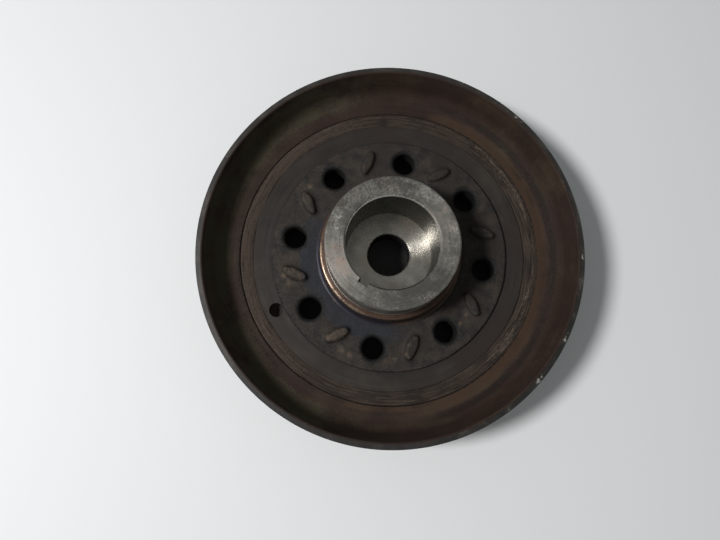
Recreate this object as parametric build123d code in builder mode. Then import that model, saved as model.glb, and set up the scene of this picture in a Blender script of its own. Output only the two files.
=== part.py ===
from build123d import *
from math import radians, tan
import os

# Crankshaft pulley with a bonded torsional damper, standing on its front face.
# +Z runs along the crank axis towards the engine, and z = 0 is the pulley's front face.

# Pulley ring
pulley_diameter = 180.0
ring_width = 37.0
rim_lip_width = 3.2
rim_bevel_height = 1.1
rim_edge_rounding = 0.5
trough_depth = 14.8
trough_wall_draft = 16.0
trough_corner_radius = 8.5
front_flange_width = 3.0
front_flange_setback = 0.6
flange_chamfer = 0.8
ring_bore_chamfer = 0.5

# Belt grooves
groove_count = 6
groove_pitch = 3.56
groove_angle = 40.0
groove_depth = 2.9
groove_land_width = 0.549
belt_band_depth = 2.0
belt_band_side_angle = 25.0

# Damping rubber
rubber_thickness = 6.3
rubber_back_recess = 0.6
rubber_front_recess = 0.9
rubber_crown = 0.5

# Hub plate. Its edge lies this share of the way out from the shoulder to the rim.
hub_edge_share = 0.5757
hub_front_recess = 3.5
hub_rim_wall = 7.0
machined_band_width = 9.1
plateau_rise = 1.5
web_thickness = 9.7
casting_draft = 8.0
casting_fillet = 3.0
hub_edge_chamfer = 0.5
plateau_edge_rounding = 0.6

# Hub nose
nose_diameter = 60.7
nose_length = 16.1
nose_chamfer = 0.6
shoulder_width = 2.85
shoulder_height = 9.6
shoulder_draft = 4.0
shoulder_edge_rounding = 0.8
shoulder_root_fillet = 1.2
bore_diameter = 42.1
bore_depth = 29.3
bore_chamfer = 0.8
bolt_hole_diameter = 20.6
bolt_hole_chamfer = 0.5
bolt_boss_diameter = 50.0
bolt_boss_height = 5.4
keyway_width = 5.0
keyway_depth = 2.3
keyway_direction = 234.5

# Web holes, slanted ribs and balance hole. The holes and the ribs lie outside the middle of
# the web's flat by their outsets.
hole_count = 8
hole_diameter = 10.3
hole_outset = 0.964
hole_start_angle = -9.8
hole_mouth_radius = 1.8
rib_length = 15.4
rib_thickness = 5.2
rib_height = 2.2
rib_slant = 34.0
rib_end_radius = 1.7
rib_rounding = 1.4
rib_outset = 1.264
balance_hole_diameter = 6.8
balance_hole_depth = 5.0
balance_hole_margin = 0.389
balance_hole_angle = -153.1
drill_point_angle = 118.0

# Derived radii of the hub, from the crank's end to the rubber
pulley_radius = pulley_diameter / 2
bore_radius = bore_diameter / 2
bolt_hole_radius = bolt_hole_diameter / 2
nose_radius = nose_diameter / 2
shoulder_radius = nose_radius + shoulder_width
shoulder_foot_radius = shoulder_radius + shoulder_height * tan(radians(shoulder_draft))
hub_radius = shoulder_radius + hub_edge_share * (pulley_radius - shoulder_radius)
plateau_radius = hub_radius - machined_band_width
plateau_foot_radius = plateau_radius + plateau_rise * tan(radians(casting_draft))
pocket_mouth_radius = hub_radius - hub_rim_wall

# Derived sizes of the pulley ring
crest_radius = pulley_radius - rim_lip_width
crest_height = ring_width + rim_bevel_height
trough_floor_height = ring_width - trough_depth
trough_wall_run = (crest_height - trough_floor_height) * tan(radians(trough_wall_draft))
trough_corner_reach = crest_radius - trough_wall_run
ring_bore_radius = hub_radius + rubber_thickness
front_flange_radius = pulley_radius - front_flange_setback
trough_floor_width = trough_corner_reach - ring_bore_radius - ring_bore_chamfer
trough_corner_limit = 0.9 * trough_floor_width / tan(radians(45 - trough_wall_draft / 2))

# Derived sizes of the belt band
belt_band_radius = pulley_radius - belt_band_depth
groove_root_radius = belt_band_radius - groove_depth
groove_side_run = groove_depth * tan(radians(groove_angle / 2))
groove_root_flat = groove_pitch - groove_land_width - 2 * groove_side_run
front_side_run = (front_flange_radius - belt_band_radius) * tan(radians(belt_band_side_angle))
back_side_run = belt_band_depth * tan(radians(belt_band_side_angle))
belt_band_start = front_flange_width + front_side_run
belt_band_end = belt_band_start + groove_count * groove_pitch

# Derived heights of the rubber and the hub
hub_back_height = trough_floor_height
hub_front_height = hub_front_recess
rubber_back_height = hub_back_height - rubber_back_recess
rubber_front_height = hub_front_height + rubber_front_recess
plateau_height = hub_back_height + plateau_rise
web_front_height = plateau_height - web_thickness
shoulder_top_height = plateau_height + shoulder_height
nose_top_height = shoulder_top_height + nose_length
bore_floor_height = nose_top_height - bore_depth
bolt_seat_height = web_front_height - bolt_boss_height

# Derived sizes of the front pocket and the bolt boss
pocket_depth = web_front_height - hub_front_height
pocket_corner_radius = pocket_mouth_radius - pocket_depth * tan(radians(casting_draft))
boss_radius = bolt_boss_diameter / 2
boss_root_radius = boss_radius + bolt_boss_height * tan(radians(casting_draft))

# Derived places of the holes and the ribs
hole_radius = hole_diameter / 2
web_middle_radius = (shoulder_foot_radius + plateau_radius) / 2
hole_circle_radius = web_middle_radius + hole_outset
hole_land = min(
    hole_circle_radius - hole_radius - shoulder_foot_radius - shoulder_root_fillet,
    plateau_radius - plateau_edge_rounding - hole_circle_radius - hole_radius,
)
rib_start_angle = hole_start_angle + 180.0 / hole_count
rib_circle_radius = web_middle_radius + rib_outset
balance_hole_radius = balance_hole_diameter / 2
balance_hole_circle_radius = plateau_foot_radius + balance_hole_margin + balance_hole_radius
drill_point_height = balance_hole_radius / tan(radians(drill_point_angle / 2))

# How close to a named height or radius an edge or a face has to lie to be picked by it
match_tolerance = 0.01

os.makedirs("parts", exist_ok=True)


def corners(section, *places):
    """The vertices of a section that lie nearest to the given places, one for each."""
    return ShapeList([section.vertices().sort_by_distance(place)[0] for place in places])


def at_height(shapes, height):
    """The edges or faces whose centres lie at the given height."""
    return shapes.filter_by_position(Axis.Z, height - match_tolerance, height + match_tolerance)


def round_edges(part, radius, height):
    """The circular edges of a part with the given radius, at the given height."""
    rings = at_height(part.edges().filter_by(GeomType.CIRCLE), height)
    return rings.filter_by(lambda edge: abs(edge.radius - radius) < match_tolerance)


# The outline of the belt band climbs in and out of each V groove in turn.
belt_outline = []
for groove in range(groove_count):
    mouth_start = belt_band_start + (groove + 0.5) * groove_pitch - groove_root_flat / 2 - groove_side_run
    mouth_end = belt_band_start + (groove + 0.5) * groove_pitch + groove_root_flat / 2 + groove_side_run
    belt_outline.append((belt_band_radius, mouth_start))
    belt_outline.append((groove_root_radius, mouth_start + groove_side_run))
    belt_outline.append((groove_root_radius, mouth_end - groove_side_run))
    belt_outline.append((belt_band_radius, mouth_end))

# The pulley ring is one iron casting, turned all over: a belt band between two flanges, and
# behind it a rim that stands out over a curved trough.
with BuildPart() as pulley_ring:
    with BuildSketch(Plane.XZ) as ring_section:
        with BuildLine():
            Polyline(
                (ring_bore_radius, 0),
                (front_flange_radius, 0),
                (front_flange_radius, front_flange_width),
                (belt_band_radius, belt_band_start),
                *belt_outline,
                (belt_band_radius, belt_band_end),
                (pulley_radius, belt_band_end + back_side_run),
                (pulley_radius, ring_width),
                (crest_radius, crest_height),
                (trough_corner_reach, trough_floor_height),
                (ring_bore_radius, trough_floor_height),
                close=True,
            )
        make_face()
        fillet(
            corners(ring_section, (trough_corner_reach, trough_floor_height)),
            min(trough_corner_radius, trough_corner_limit),
        )
        fillet(
            corners(ring_section, (pulley_radius, ring_width), (crest_radius, crest_height)),
            rim_edge_rounding,
        )
        chamfer(corners(ring_section, (front_flange_radius, 0)), flange_chamfer)
        chamfer(
            corners(ring_section, (ring_bore_radius, 0), (ring_bore_radius, trough_floor_height)),
            ring_bore_chamfer,
        )
    revolve(axis=Axis.Z)

# The rubber is bonded between the hub and the ring, and bulges a little at both faces.
with BuildPart() as damping_rubber:
    with BuildSketch(Plane.XZ):
        with BuildLine():
            back = SagittaArc(
                (ring_bore_radius, rubber_back_height),
                (hub_radius, rubber_back_height),
                -rubber_crown,
            )
            front = SagittaArc(
                (hub_radius, rubber_front_height),
                (ring_bore_radius, rubber_front_height),
                -rubber_crown,
            )
            Line(back @ 1, front @ 0)
            Line(front @ 1, back @ 0)
        make_face()
    revolve(axis=Axis.Z)

# A rib's outline is a leaf between two arcs with rounded ends, as long as the arcs' chord
# before the rounding.
with BuildSketch() as rib_outline:
    with BuildLine():
        SagittaArc((-rib_length / 2, 0), (rib_length / 2, 0), rib_thickness / 2)
        SagittaArc((rib_length / 2, 0), (-rib_length / 2, 0), rib_thickness / 2)
    make_face()
    fillet(rib_outline.vertices(), rib_end_radius)

# The hub is one casting: a rim and web like a dish, a bolt boss in front, and behind it a
# raised plateau with a shoulder that carries the machined nose.
with BuildPart() as hub:
    with BuildSketch(Plane.XZ) as hub_section:
        with BuildLine():
            Polyline(
                (0, bolt_seat_height),
                (boss_radius, bolt_seat_height),
                (boss_root_radius, web_front_height),
                (pocket_corner_radius, web_front_height),
                (pocket_mouth_radius, hub_front_height),
                (hub_radius, hub_front_height),
                (hub_radius, hub_back_height),
                (plateau_foot_radius, hub_back_height),
                (plateau_radius, plateau_height),
                (shoulder_foot_radius, plateau_height),
                (shoulder_radius, shoulder_top_height),
                (nose_radius, shoulder_top_height),
                (nose_radius, nose_top_height),
                (0, nose_top_height),
                close=True,
            )
        make_face()
        fillet(
            corners(
                hub_section,
                (boss_root_radius, web_front_height),
                (pocket_corner_radius, web_front_height),
            ),
            casting_fillet,
        )
        fillet(corners(hub_section, (shoulder_foot_radius, plateau_height)), shoulder_root_fillet)
        fillet(corners(hub_section, (shoulder_radius, shoulder_top_height)), shoulder_edge_rounding)
        fillet(corners(hub_section, (plateau_radius, plateau_height)), plateau_edge_rounding)
        chamfer(corners(hub_section, (nose_radius, nose_top_height)), nose_chamfer)
        chamfer(
            corners(
                hub_section,
                (boss_radius, bolt_seat_height),
                (pocket_mouth_radius, hub_front_height),
                (hub_radius, hub_front_height),
                (hub_radius, hub_back_height),
            ),
            hub_edge_chamfer,
        )
    revolve(axis=Axis.Z)

    # The crankshaft's end seats in the bore, and the bolt passes through its floor.
    with Locations((0, 0, nose_top_height)):
        CounterBoreHole(bolt_hole_radius, bore_radius, bore_depth)
    chamfer(round_edges(hub, bore_radius, nose_top_height), bore_chamfer)
    chamfer(round_edges(hub, bolt_hole_radius, bore_floor_height), bolt_hole_chamfer)
    chamfer(round_edges(hub, bolt_hole_radius, bolt_seat_height), bolt_hole_chamfer)

    # The keyway runs down the wall of the bore to its floor.
    with BuildSketch(Plane.XY.offset(nose_top_height)):
        with PolarLocations(bore_radius, 1, start_angle=keyway_direction):
            Rectangle(2 * keyway_depth, keyway_width)
    extrude(amount=-bore_depth, mode=Mode.SUBTRACT)

    # Through holes in the web, with soft cast mouths on the engine side.
    with PolarLocations(hole_circle_radius, hole_count, start_angle=hole_start_angle):
        Hole(hole_radius)
    fillet(round_edges(hub, hole_radius, plateau_height), min(hole_mouth_radius, 0.9 * hole_land))
    chamfer(round_edges(hub, hole_radius, web_front_height), hub_edge_chamfer)

    # Short leaf-shaped cast ribs stand between the holes, all slanted the same way.
    with BuildSketch(Plane.XY.offset(plateau_height)):
        with PolarLocations(rib_circle_radius, hole_count, start_angle=rib_start_angle):
            add(rib_outline.sketch, rotation=-rib_slant)
    extrude(amount=rib_height)
    fillet(at_height(hub.faces(), plateau_height + rib_height).edges(), rib_rounding)

    # One blind hole was drilled in the machined band to balance the hub.
    with PolarLocations(balance_hole_circle_radius, 1, start_angle=balance_hole_angle):
        with Locations((0, 0, hub_back_height)):
            Hole(balance_hole_radius, balance_hole_depth)
        with Locations((0, 0, hub_back_height - balance_hole_depth)):
            Cone(
                0,
                balance_hole_radius,
                drill_point_height,
                align=(Align.CENTER, Align.CENTER, Align.MAX),
                mode=Mode.SUBTRACT,
            )

pulley_ring.part.label = "pulley_ring"
damping_rubber.part.label = "damping_rubber"
hub.part.label = "hub"

export_step(pulley_ring.part, "parts/pulley_ring.step")
export_step(damping_rubber.part, "parts/damping_rubber.step")
export_step(hub.part, "parts/hub.step")
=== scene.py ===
import logging
import math
from collections.abc import Sequence
from dataclasses import dataclass, field
from enum import Enum

import bpy
import numpy as np
from mathutils import Matrix, Vector, noise
from mathutils.geometry import delaunay_2d_cdt


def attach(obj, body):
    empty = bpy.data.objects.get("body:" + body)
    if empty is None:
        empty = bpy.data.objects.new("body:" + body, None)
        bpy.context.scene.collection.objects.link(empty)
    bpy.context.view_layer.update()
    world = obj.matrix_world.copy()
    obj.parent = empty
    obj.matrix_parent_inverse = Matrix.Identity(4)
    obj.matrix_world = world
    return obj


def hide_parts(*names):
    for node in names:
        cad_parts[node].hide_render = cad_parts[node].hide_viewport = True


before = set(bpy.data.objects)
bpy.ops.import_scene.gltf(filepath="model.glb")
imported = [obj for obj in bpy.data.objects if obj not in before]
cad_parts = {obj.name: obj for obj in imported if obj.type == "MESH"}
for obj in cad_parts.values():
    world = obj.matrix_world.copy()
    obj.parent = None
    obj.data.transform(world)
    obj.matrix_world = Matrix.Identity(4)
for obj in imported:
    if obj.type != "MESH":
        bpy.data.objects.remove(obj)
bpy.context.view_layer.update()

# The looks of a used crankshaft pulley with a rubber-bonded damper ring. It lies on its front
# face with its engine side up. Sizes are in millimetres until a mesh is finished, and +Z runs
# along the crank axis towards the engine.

logging.basicConfig(level=logging.INFO, format="%(message)s")
log = logging.getLogger("pulley")

MM = 0.001
MERGE_MM = 0.002
SMOOTH_ANGLE = math.radians(38)
WAVE_SEED = 7
STEPS_ROUND_HUB = 360
STEPS_ROUND_DAMPER = 480

# The patterns of an iron surface. A cutter's marks change a few times on their way round, and
# broad bands of several marks lie over them. Each span is the stretch of a pattern that is drawn
# out from nothing to all.
CUTTER_TURNS = 1.6
BAND_TURNS = 0.7
BAND_SPACINGS = 7
BAND_SHARE = 0.45
WIDE_PATCHES = 2.6
CRUMB_MM = 1.1
CRUMB_SPREAD = 0.06
CRUMB_SPAN = (0.70, 0.76)
TONE_SPAN = (0.34, 0.66)
TINT_SPAN = (0.42, 0.66)
GRAIN_SPAN = (0.3, 0.7)
METAL_UNDER_GRIME = 0.1
POLISH_OF_BARE = -0.2
QUARTER_TURN = 0.25

# How a wear attribute breaks up into flecks: the contrast and level of the pattern, the weight of
# the wear against it, how soon the wear shows at all, and the flecks' edges.
FLECK_CONTRAST = 2.6
FLECK_LEVEL = -3.35
WEAR_WEIGHT = 1.6
WEAR_ONSET = 3.0
FLECK_EDGES = (-0.3, 0.8)


class Wear(Enum):
    """What time has left on the surface, and painted light and shade, each a named attribute of the mesh
    from 0 to 1.
    """

    RUST = "rust"
    GRIME_AND_SHADE = "grime_and_shade"
    DUST_AND_LIGHT = "dust"
    BARE_AND_HIGHLIGHT = "bare"
    OIL = "oil"


class Finish(Enum):
    """The finishes of the pulley, each a material slot of the piece that carries it."""

    CAST = "cast"
    TURNED = "turned"
    NOSE = "nose"
    BORE = "bore"
    WALL = "wall"
    SHOULDER = "shoulder"
    TROUGH = "trough"
    RIM = "rim"
    BELT = "belt"
    RUBBER = "rubber"


def linear(hex_colour: str) -> tuple[float, float, float, float]:
    """Turns an sRGB hex colour into the linear colour that a shader works with.

    Args:
        hex_colour: Six hex digits, such as "8a857f".

    Returns:
        Red, green, blue and an alpha of 1.
    """
    parts = [int(hex_colour[i : i + 2], 16) / 255 for i in (0, 2, 4)]
    red, green, blue = (p / 12.92 if p <= 0.04045 else ((p + 0.055) / 1.055) ** 2.4 for p in parts)
    return red, green, blue, 1.0


def ramp(value: np.ndarray, start: float, end: float) -> np.ndarray:
    """Rises smoothly from 0 at start to 1 at end, or falls if start is the larger.

    Args:
        value: The measured numbers.
        start: Where the ramp leaves 0.
        end: Where the ramp reaches 1.

    Returns:
        The ramp's height at each number.
    """
    t = np.clip((value - start) / (end - start), 0.0, 1.0)
    return t * t * (3 - 2 * t)


def band(value: np.ndarray, low: float, high: float, soft: float) -> np.ndarray:
    """A soft-edged band.

    Args:
        value: The measured numbers.
        low: The band's lower edge.
        high: The band's upper edge.
        soft: How far each edge takes to fade.

    Returns:
        1 inside the band and 0 outside it.
    """
    return ramp(value, low - soft, low) * ramp(value, high + soft, high)


def arc(degrees: np.ndarray, centre: float, half_width: float, soft: float) -> np.ndarray:
    """A soft-edged stretch of the circle.

    Args:
        degrees: The angle of each point round the axis.
        centre: The middle of the stretch.
        half_width: How far the stretch reaches each way.
        soft: How many degrees each end takes to fade.

    Returns:
        1 inside the stretch and 0 outside it.
    """
    away = np.abs((degrees - centre + 180.0) % 360.0 - 180.0)
    return ramp(away, half_width + soft, half_width)


@dataclass(frozen=True)
class Corner:
    """One corner of a turned profile.

    Attributes:
        r: Distance from the crank axis.
        z: Height over the front face.
        rounding: Radius that softens the corner.
        finish: Finish of the stretch that starts here.
    """

    r: float
    z: float
    rounding: float
    finish: Finish


@dataclass
class Outline:
    """A sampled profile: its points, and the finish of the stretch after each point."""

    points: list[tuple[float, float]]
    finishes: list[Finish]


@dataclass(frozen=True)
class Sampling:
    """How closely a profile is sampled.

    Attributes:
        step: The longest straight stretch between two points.
        hold: The stretch on either side of a rounded corner that is held flat.
        bend_degrees: The widest turn between two points of a rounded corner.
    """

    step: float
    hold: float
    bend_degrees: float


SEEN = Sampling(step=1.3, hold=0.22, bend_degrees=14.0)
HIDDEN = Sampling(step=6.0, hold=0.0, bend_degrees=24.0)


def trace(corners: Sequence[Corner], sampling: Sampling) -> Outline:
    """Samples a profile, rounds its corners and holds its straight stretches flat.

    Args:
        corners: The profile's corners, anticlockwise seen with r to the right and z up.
        sampling: How closely it is sampled.

    Returns:
        The sampled outline.
    """
    count = len(corners)
    bends: list[list[np.ndarray]] = []
    for i, corner in enumerate(corners):
        place = np.array((corner.r, corner.z))
        if corner.rounding <= 0 or i in (0, count - 1):
            bends.append([place])
            continue
        before = np.array((corners[i - 1].r, corners[i - 1].z)) - place
        after = np.array((corners[i + 1].r, corners[i + 1].z)) - place
        before, after = before / np.linalg.norm(before), after / np.linalg.norm(after)
        opening = math.acos(float(np.clip(before @ after, -1.0, 1.0)))
        reach = corner.rounding / math.tan(opening / 2)
        middle = before + after
        centre = place + middle / np.linalg.norm(middle) * corner.rounding / math.sin(opening / 2)
        start = place + before * reach - centre
        end = place + after * reach - centre
        turn = math.atan2(start[0] * end[1] - start[1] * end[0], float(start @ end))
        pieces = max(3, math.ceil(abs(turn) / math.radians(sampling.bend_degrees)))
        angles = [turn * k / pieces for k in range(pieces + 1)]
        bends.append(
            [
                centre
                + np.array(
                    (
                        start[0] * math.cos(a) - start[1] * math.sin(a),
                        start[0] * math.sin(a) + start[1] * math.cos(a),
                    )
                )
                for a in angles
            ]
        )
    points: list[tuple[float, float]] = []
    finishes: list[Finish] = []
    for i, bend in enumerate(bends):
        for place in bend:
            points.append((float(place[0]), float(place[1])))
            finishes.append(corners[i].finish)
        if i == count - 1:
            break
        start, end = bend[-1], bends[i + 1][0]
        length = float(np.linalg.norm(end - start))
        hold = min(sampling.hold, length / 4)
        inner = max(1, math.ceil((length - 2 * hold) / sampling.step))
        for k in range(inner + 1) if hold > 0 else range(1, inner):
            share = (hold + (length - 2 * hold) * k / inner) / length
            place = start + (end - start) * share
            points.append((float(place[0]), float(place[1])))
            finishes.append(corners[i].finish)
    return Outline(points, finishes)


class Draft:
    """The vertices and faces of one piece in millimetres, gathered ring by ring."""

    def __init__(self) -> None:
        """Starts an empty piece."""
        self.points: list[tuple[float, float, float]] = []
        self.faces: list[tuple[int, ...]] = []
        self.finishes: list[Finish] = []

    def add_points(self, places: np.ndarray) -> list[int]:
        """Adds vertices.

        Args:
            places: One row of x, y and z for each vertex.

        Returns:
            The vertices' numbers.
        """
        first = len(self.points)
        self.points.extend((float(x), float(y), float(z)) for x, y, z in places)
        return list(range(first, len(self.points)))

    def join(
        self, lower: Sequence[int], upper: Sequence[int], finish: Finish, gap: range = range(0)
    ) -> None:
        """Closes the band between two rings that have as many vertices.

        Args:
            lower: The ring that comes first along the profile.
            upper: The ring that comes next.
            finish: The finish of the band.
            gap: The steps round the ring that are left open.
        """
        count = len(lower)
        for i in range(count):
            if i in gap:
                continue
            j = (i + 1) % count
            self.faces.append((lower[i], lower[j], upper[j], upper[i]))
            self.finishes.append(finish)

    def revolve(
        self,
        outline: Outline,
        angles: np.ndarray,
        closed: bool,
        gap: tuple[range, range] = (range(0), range(0)),
    ) -> list[list[int]]:
        """Turns a profile round the crank axis.

        Args:
            outline: The sampled profile.
            angles: The angle of each vertex round the axis, in radians.
            closed: Whether the profile's end joins its start.
            gap: The bands and, in them, the steps round the axis that are left open.

        Returns:
            The rings of vertices.
        """
        rings = [self.add_points(circle(r, z, angles)) for r, z in outline.points]
        if closed:
            rings.append(rings[0])
        for k in range(len(rings) - 1):
            self.join(rings[k], rings[k + 1], outline.finishes[k], gap[1] if k in gap[0] else range(0))
        return rings

    def add_mesh(self, mesh: bpy.types.Mesh, finish: Finish) -> None:
        """Takes over the faces of a finished mesh, which is in metres.

        Args:
            mesh: The mesh.
            finish: The finish of all its faces.
        """
        places = np.zeros(len(mesh.vertices) * 3, np.float32)
        mesh.vertices.foreach_get("co", places)
        numbers = self.add_points(places.reshape(-1, 3) / MM)
        for polygon in mesh.polygons:
            self.faces.append(tuple(numbers[v] for v in polygon.vertices))
            self.finishes.append(finish)

    def finish_object(self, name: str, materials: dict[Finish, bpy.types.Material]) -> bpy.types.Object:
        """Makes the piece's object, with its doubles merged.

        Args:
            name: The piece's name.
            materials: The material of each finish that the piece has.

        Returns:
            The object, in metres, at the origin.
        """
        places, numbers = merged(np.array(self.points))
        slots = list(materials)
        faces = []
        slot_numbers = []
        for face, finish in zip(self.faces, self.finishes):
            corners = [int(numbers[v]) for v in face]
            corners = [v for i, v in enumerate(corners) if v != corners[i - 1]]
            if len(corners) > 2:
                faces.append(corners)
                slot_numbers.append(slots.index(finish))
        mesh = bpy.data.meshes.new(name)
        mesh.from_pydata((places * MM).tolist(), [], faces)
        for finish in slots:
            mesh.materials.append(materials[finish])
        mesh.polygons.foreach_set("material_index", slot_numbers)
        mesh.validate()
        mesh.shade_smooth()
        mesh.set_sharp_from_angle(angle=SMOOTH_ANGLE)
        piece = bpy.data.objects.new(name, mesh)
        bpy.context.scene.collection.objects.link(piece)
        return piece


def circle(r: float, z: float, angles: np.ndarray) -> np.ndarray:
    """Points on a circle round the crank axis."""
    return np.column_stack((r * np.cos(angles), r * np.sin(angles), np.full(len(angles), z)))


def turns_round(count: int) -> np.ndarray:
    """Angles evenly round the axis, in radians."""
    return np.arange(count) * 2 * math.pi / count


def round_shape(count: int) -> np.ndarray:
    """The x and y of points evenly round a circle of radius 1."""
    turns = turns_round(count)
    return np.column_stack((np.cos(turns), np.sin(turns)))


def spot_at(radius: float, angle: float) -> np.ndarray:
    """The x and y of the spot at a radius and at an angle in radians round the crank axis."""
    return np.array((math.cos(angle), math.sin(angle))) * radius


def merged(places: np.ndarray) -> tuple[np.ndarray, np.ndarray]:
    """Merges vertices that lie on each other.

    Args:
        places: One row of x, y and z for each vertex.

    Returns:
        The places that stay, and for each old vertex the number of its new one.
    """
    keys = np.round(places / MERGE_MM).astype(np.int64)
    known: dict[tuple[int, int, int], int] = {}
    kept: list[np.ndarray] = []
    numbers = np.zeros(len(places), int)
    steps = [(a, b, c) for a in (0, -1, 1) for b in (0, -1, 1) for c in (0, -1, 1)]
    for i, (x, y, z) in enumerate(keys.tolist()):
        near = (known.get((x + a, y + b, z + c)) for a, b, c in steps)
        found = next((n for n in near if n is not None), None)
        if found is None:
            found = len(kept)
            kept.append(places[i])
            known[(x, y, z)] = found
        numbers[i] = found
    return np.array(kept), numbers


def add_node(
    tree: bpy.types.NodeTree,
    kind: str,
    inputs: dict[int | str, object] | None = None,
    **settings: object,
) -> bpy.types.Node:
    """Adds a node with its settings and links.

    Args:
        tree: The node tree.
        kind: The node's type name.
        inputs: A value, or the socket to link from, for each input by its number or name.
        settings: The node's own properties.

    Returns:
        The new node.
    """
    node = tree.nodes.new(kind)
    for key, value in settings.items():
        setattr(node, key, value)
    for key, value in (inputs or {}).items():
        if isinstance(value, bpy.types.NodeSocket):
            tree.links.new(value, node.inputs[key])
        else:
            node.inputs[key].default_value = value
    return node


@dataclass(frozen=True)
class PatternRepeat:
    """Geometry Nodes that repeat one section of a piece round and along the crank axis.

    Attributes:
        name: The node tree's name.
        count: How many sections there are.
        turn_degrees: How far each section is turned from the one before.
        rise_mm: How far each section is moved up from the one before.
    """

    name: str
    count: int
    turn_degrees: float
    rise_mm: float

    def tree(self) -> bpy.types.NodeTree:
        """Builds the node tree, with named inputs for its sizes.

        Returns:
            The node tree.
        """
        tree = bpy.data.node_groups.new(self.name, "GeometryNodeTree")
        face = tree.interface
        face.new_socket("Section", in_out="INPUT", socket_type="NodeSocketGeometry")
        face.new_socket("Count", in_out="INPUT", socket_type="NodeSocketInt")
        face.new_socket("Turn", in_out="INPUT", socket_type="NodeSocketFloat")
        face.new_socket("Rise", in_out="INPUT", socket_type="NodeSocketFloat")
        face.new_socket("Merge Distance", in_out="INPUT", socket_type="NodeSocketFloat")
        face.new_socket("Material", in_out="INPUT", socket_type="NodeSocketMaterial")
        face.new_socket("Whole", in_out="OUTPUT", socket_type="NodeSocketGeometry")
        given = add_node(tree, "NodeGroupInput").outputs
        number = add_node(tree, "GeometryNodeInputIndex").outputs[0]
        turned = add_node(tree, "ShaderNodeMath", {0: number, 1: given["Turn"]}, operation="MULTIPLY")
        raised = add_node(tree, "ShaderNodeMath", {0: number, 1: given["Rise"]}, operation="MULTIPLY")
        place = add_node(tree, "ShaderNodeCombineXYZ", {"Z": raised.outputs[0]})
        turning = add_node(tree, "ShaderNodeCombineXYZ", {"Z": turned.outputs[0]})
        points = add_node(
            tree, "GeometryNodePoints", {"Count": given["Count"], "Position": place.outputs[0]}
        )
        copies = add_node(
            tree,
            "GeometryNodeInstanceOnPoints",
            {
                "Points": points.outputs[0],
                "Instance": given["Section"],
                "Rotation": turning.outputs[0],
            },
        )
        real = add_node(tree, "GeometryNodeRealizeInstances", {"Geometry": copies.outputs[0]})
        whole = add_node(
            tree,
            "GeometryNodeMergeByDistance",
            {"Geometry": real.outputs[0], "Distance": given["Merge Distance"]},
        )
        dressed = add_node(
            tree,
            "GeometryNodeSetMaterial",
            {"Geometry": whole.outputs[0], "Material": given["Material"]},
        )
        add_node(tree, "NodeGroupOutput", {0: dressed.outputs[0]})
        return tree

    def apply(self, section: Draft, finish: Finish, material: bpy.types.Material) -> bpy.types.Mesh:
        """Repeats a section and returns the plain mesh.

        Args:
            section: The one section, in millimetres.
            finish: The section's finish.
            material: The material of that finish.

        Returns:
            The mesh of all sections, in metres.
        """
        carrier = section.finish_object(self.name + "_section", {finish: material})
        tree = self.tree()
        modifier = carrier.modifiers.new("repeat", "NODES")
        modifier.node_group = tree
        sizes = {
            "Count": self.count,
            "Turn": math.radians(self.turn_degrees),
            "Rise": self.rise_mm * MM,
            "Merge Distance": MERGE_MM * MM,
            "Material": material,
        }
        for socket in tree.interface.items_tree:
            if socket.in_out == "INPUT" and socket.name in sizes:
                modifier[socket.identifier] = sizes[socket.name]
        bpy.context.view_layer.update()
        evaluated = carrier.evaluated_get(bpy.context.evaluated_depsgraph_get())
        mesh = bpy.data.meshes.new_from_object(evaluated)
        bpy.data.objects.remove(carrier)
        return mesh


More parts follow.
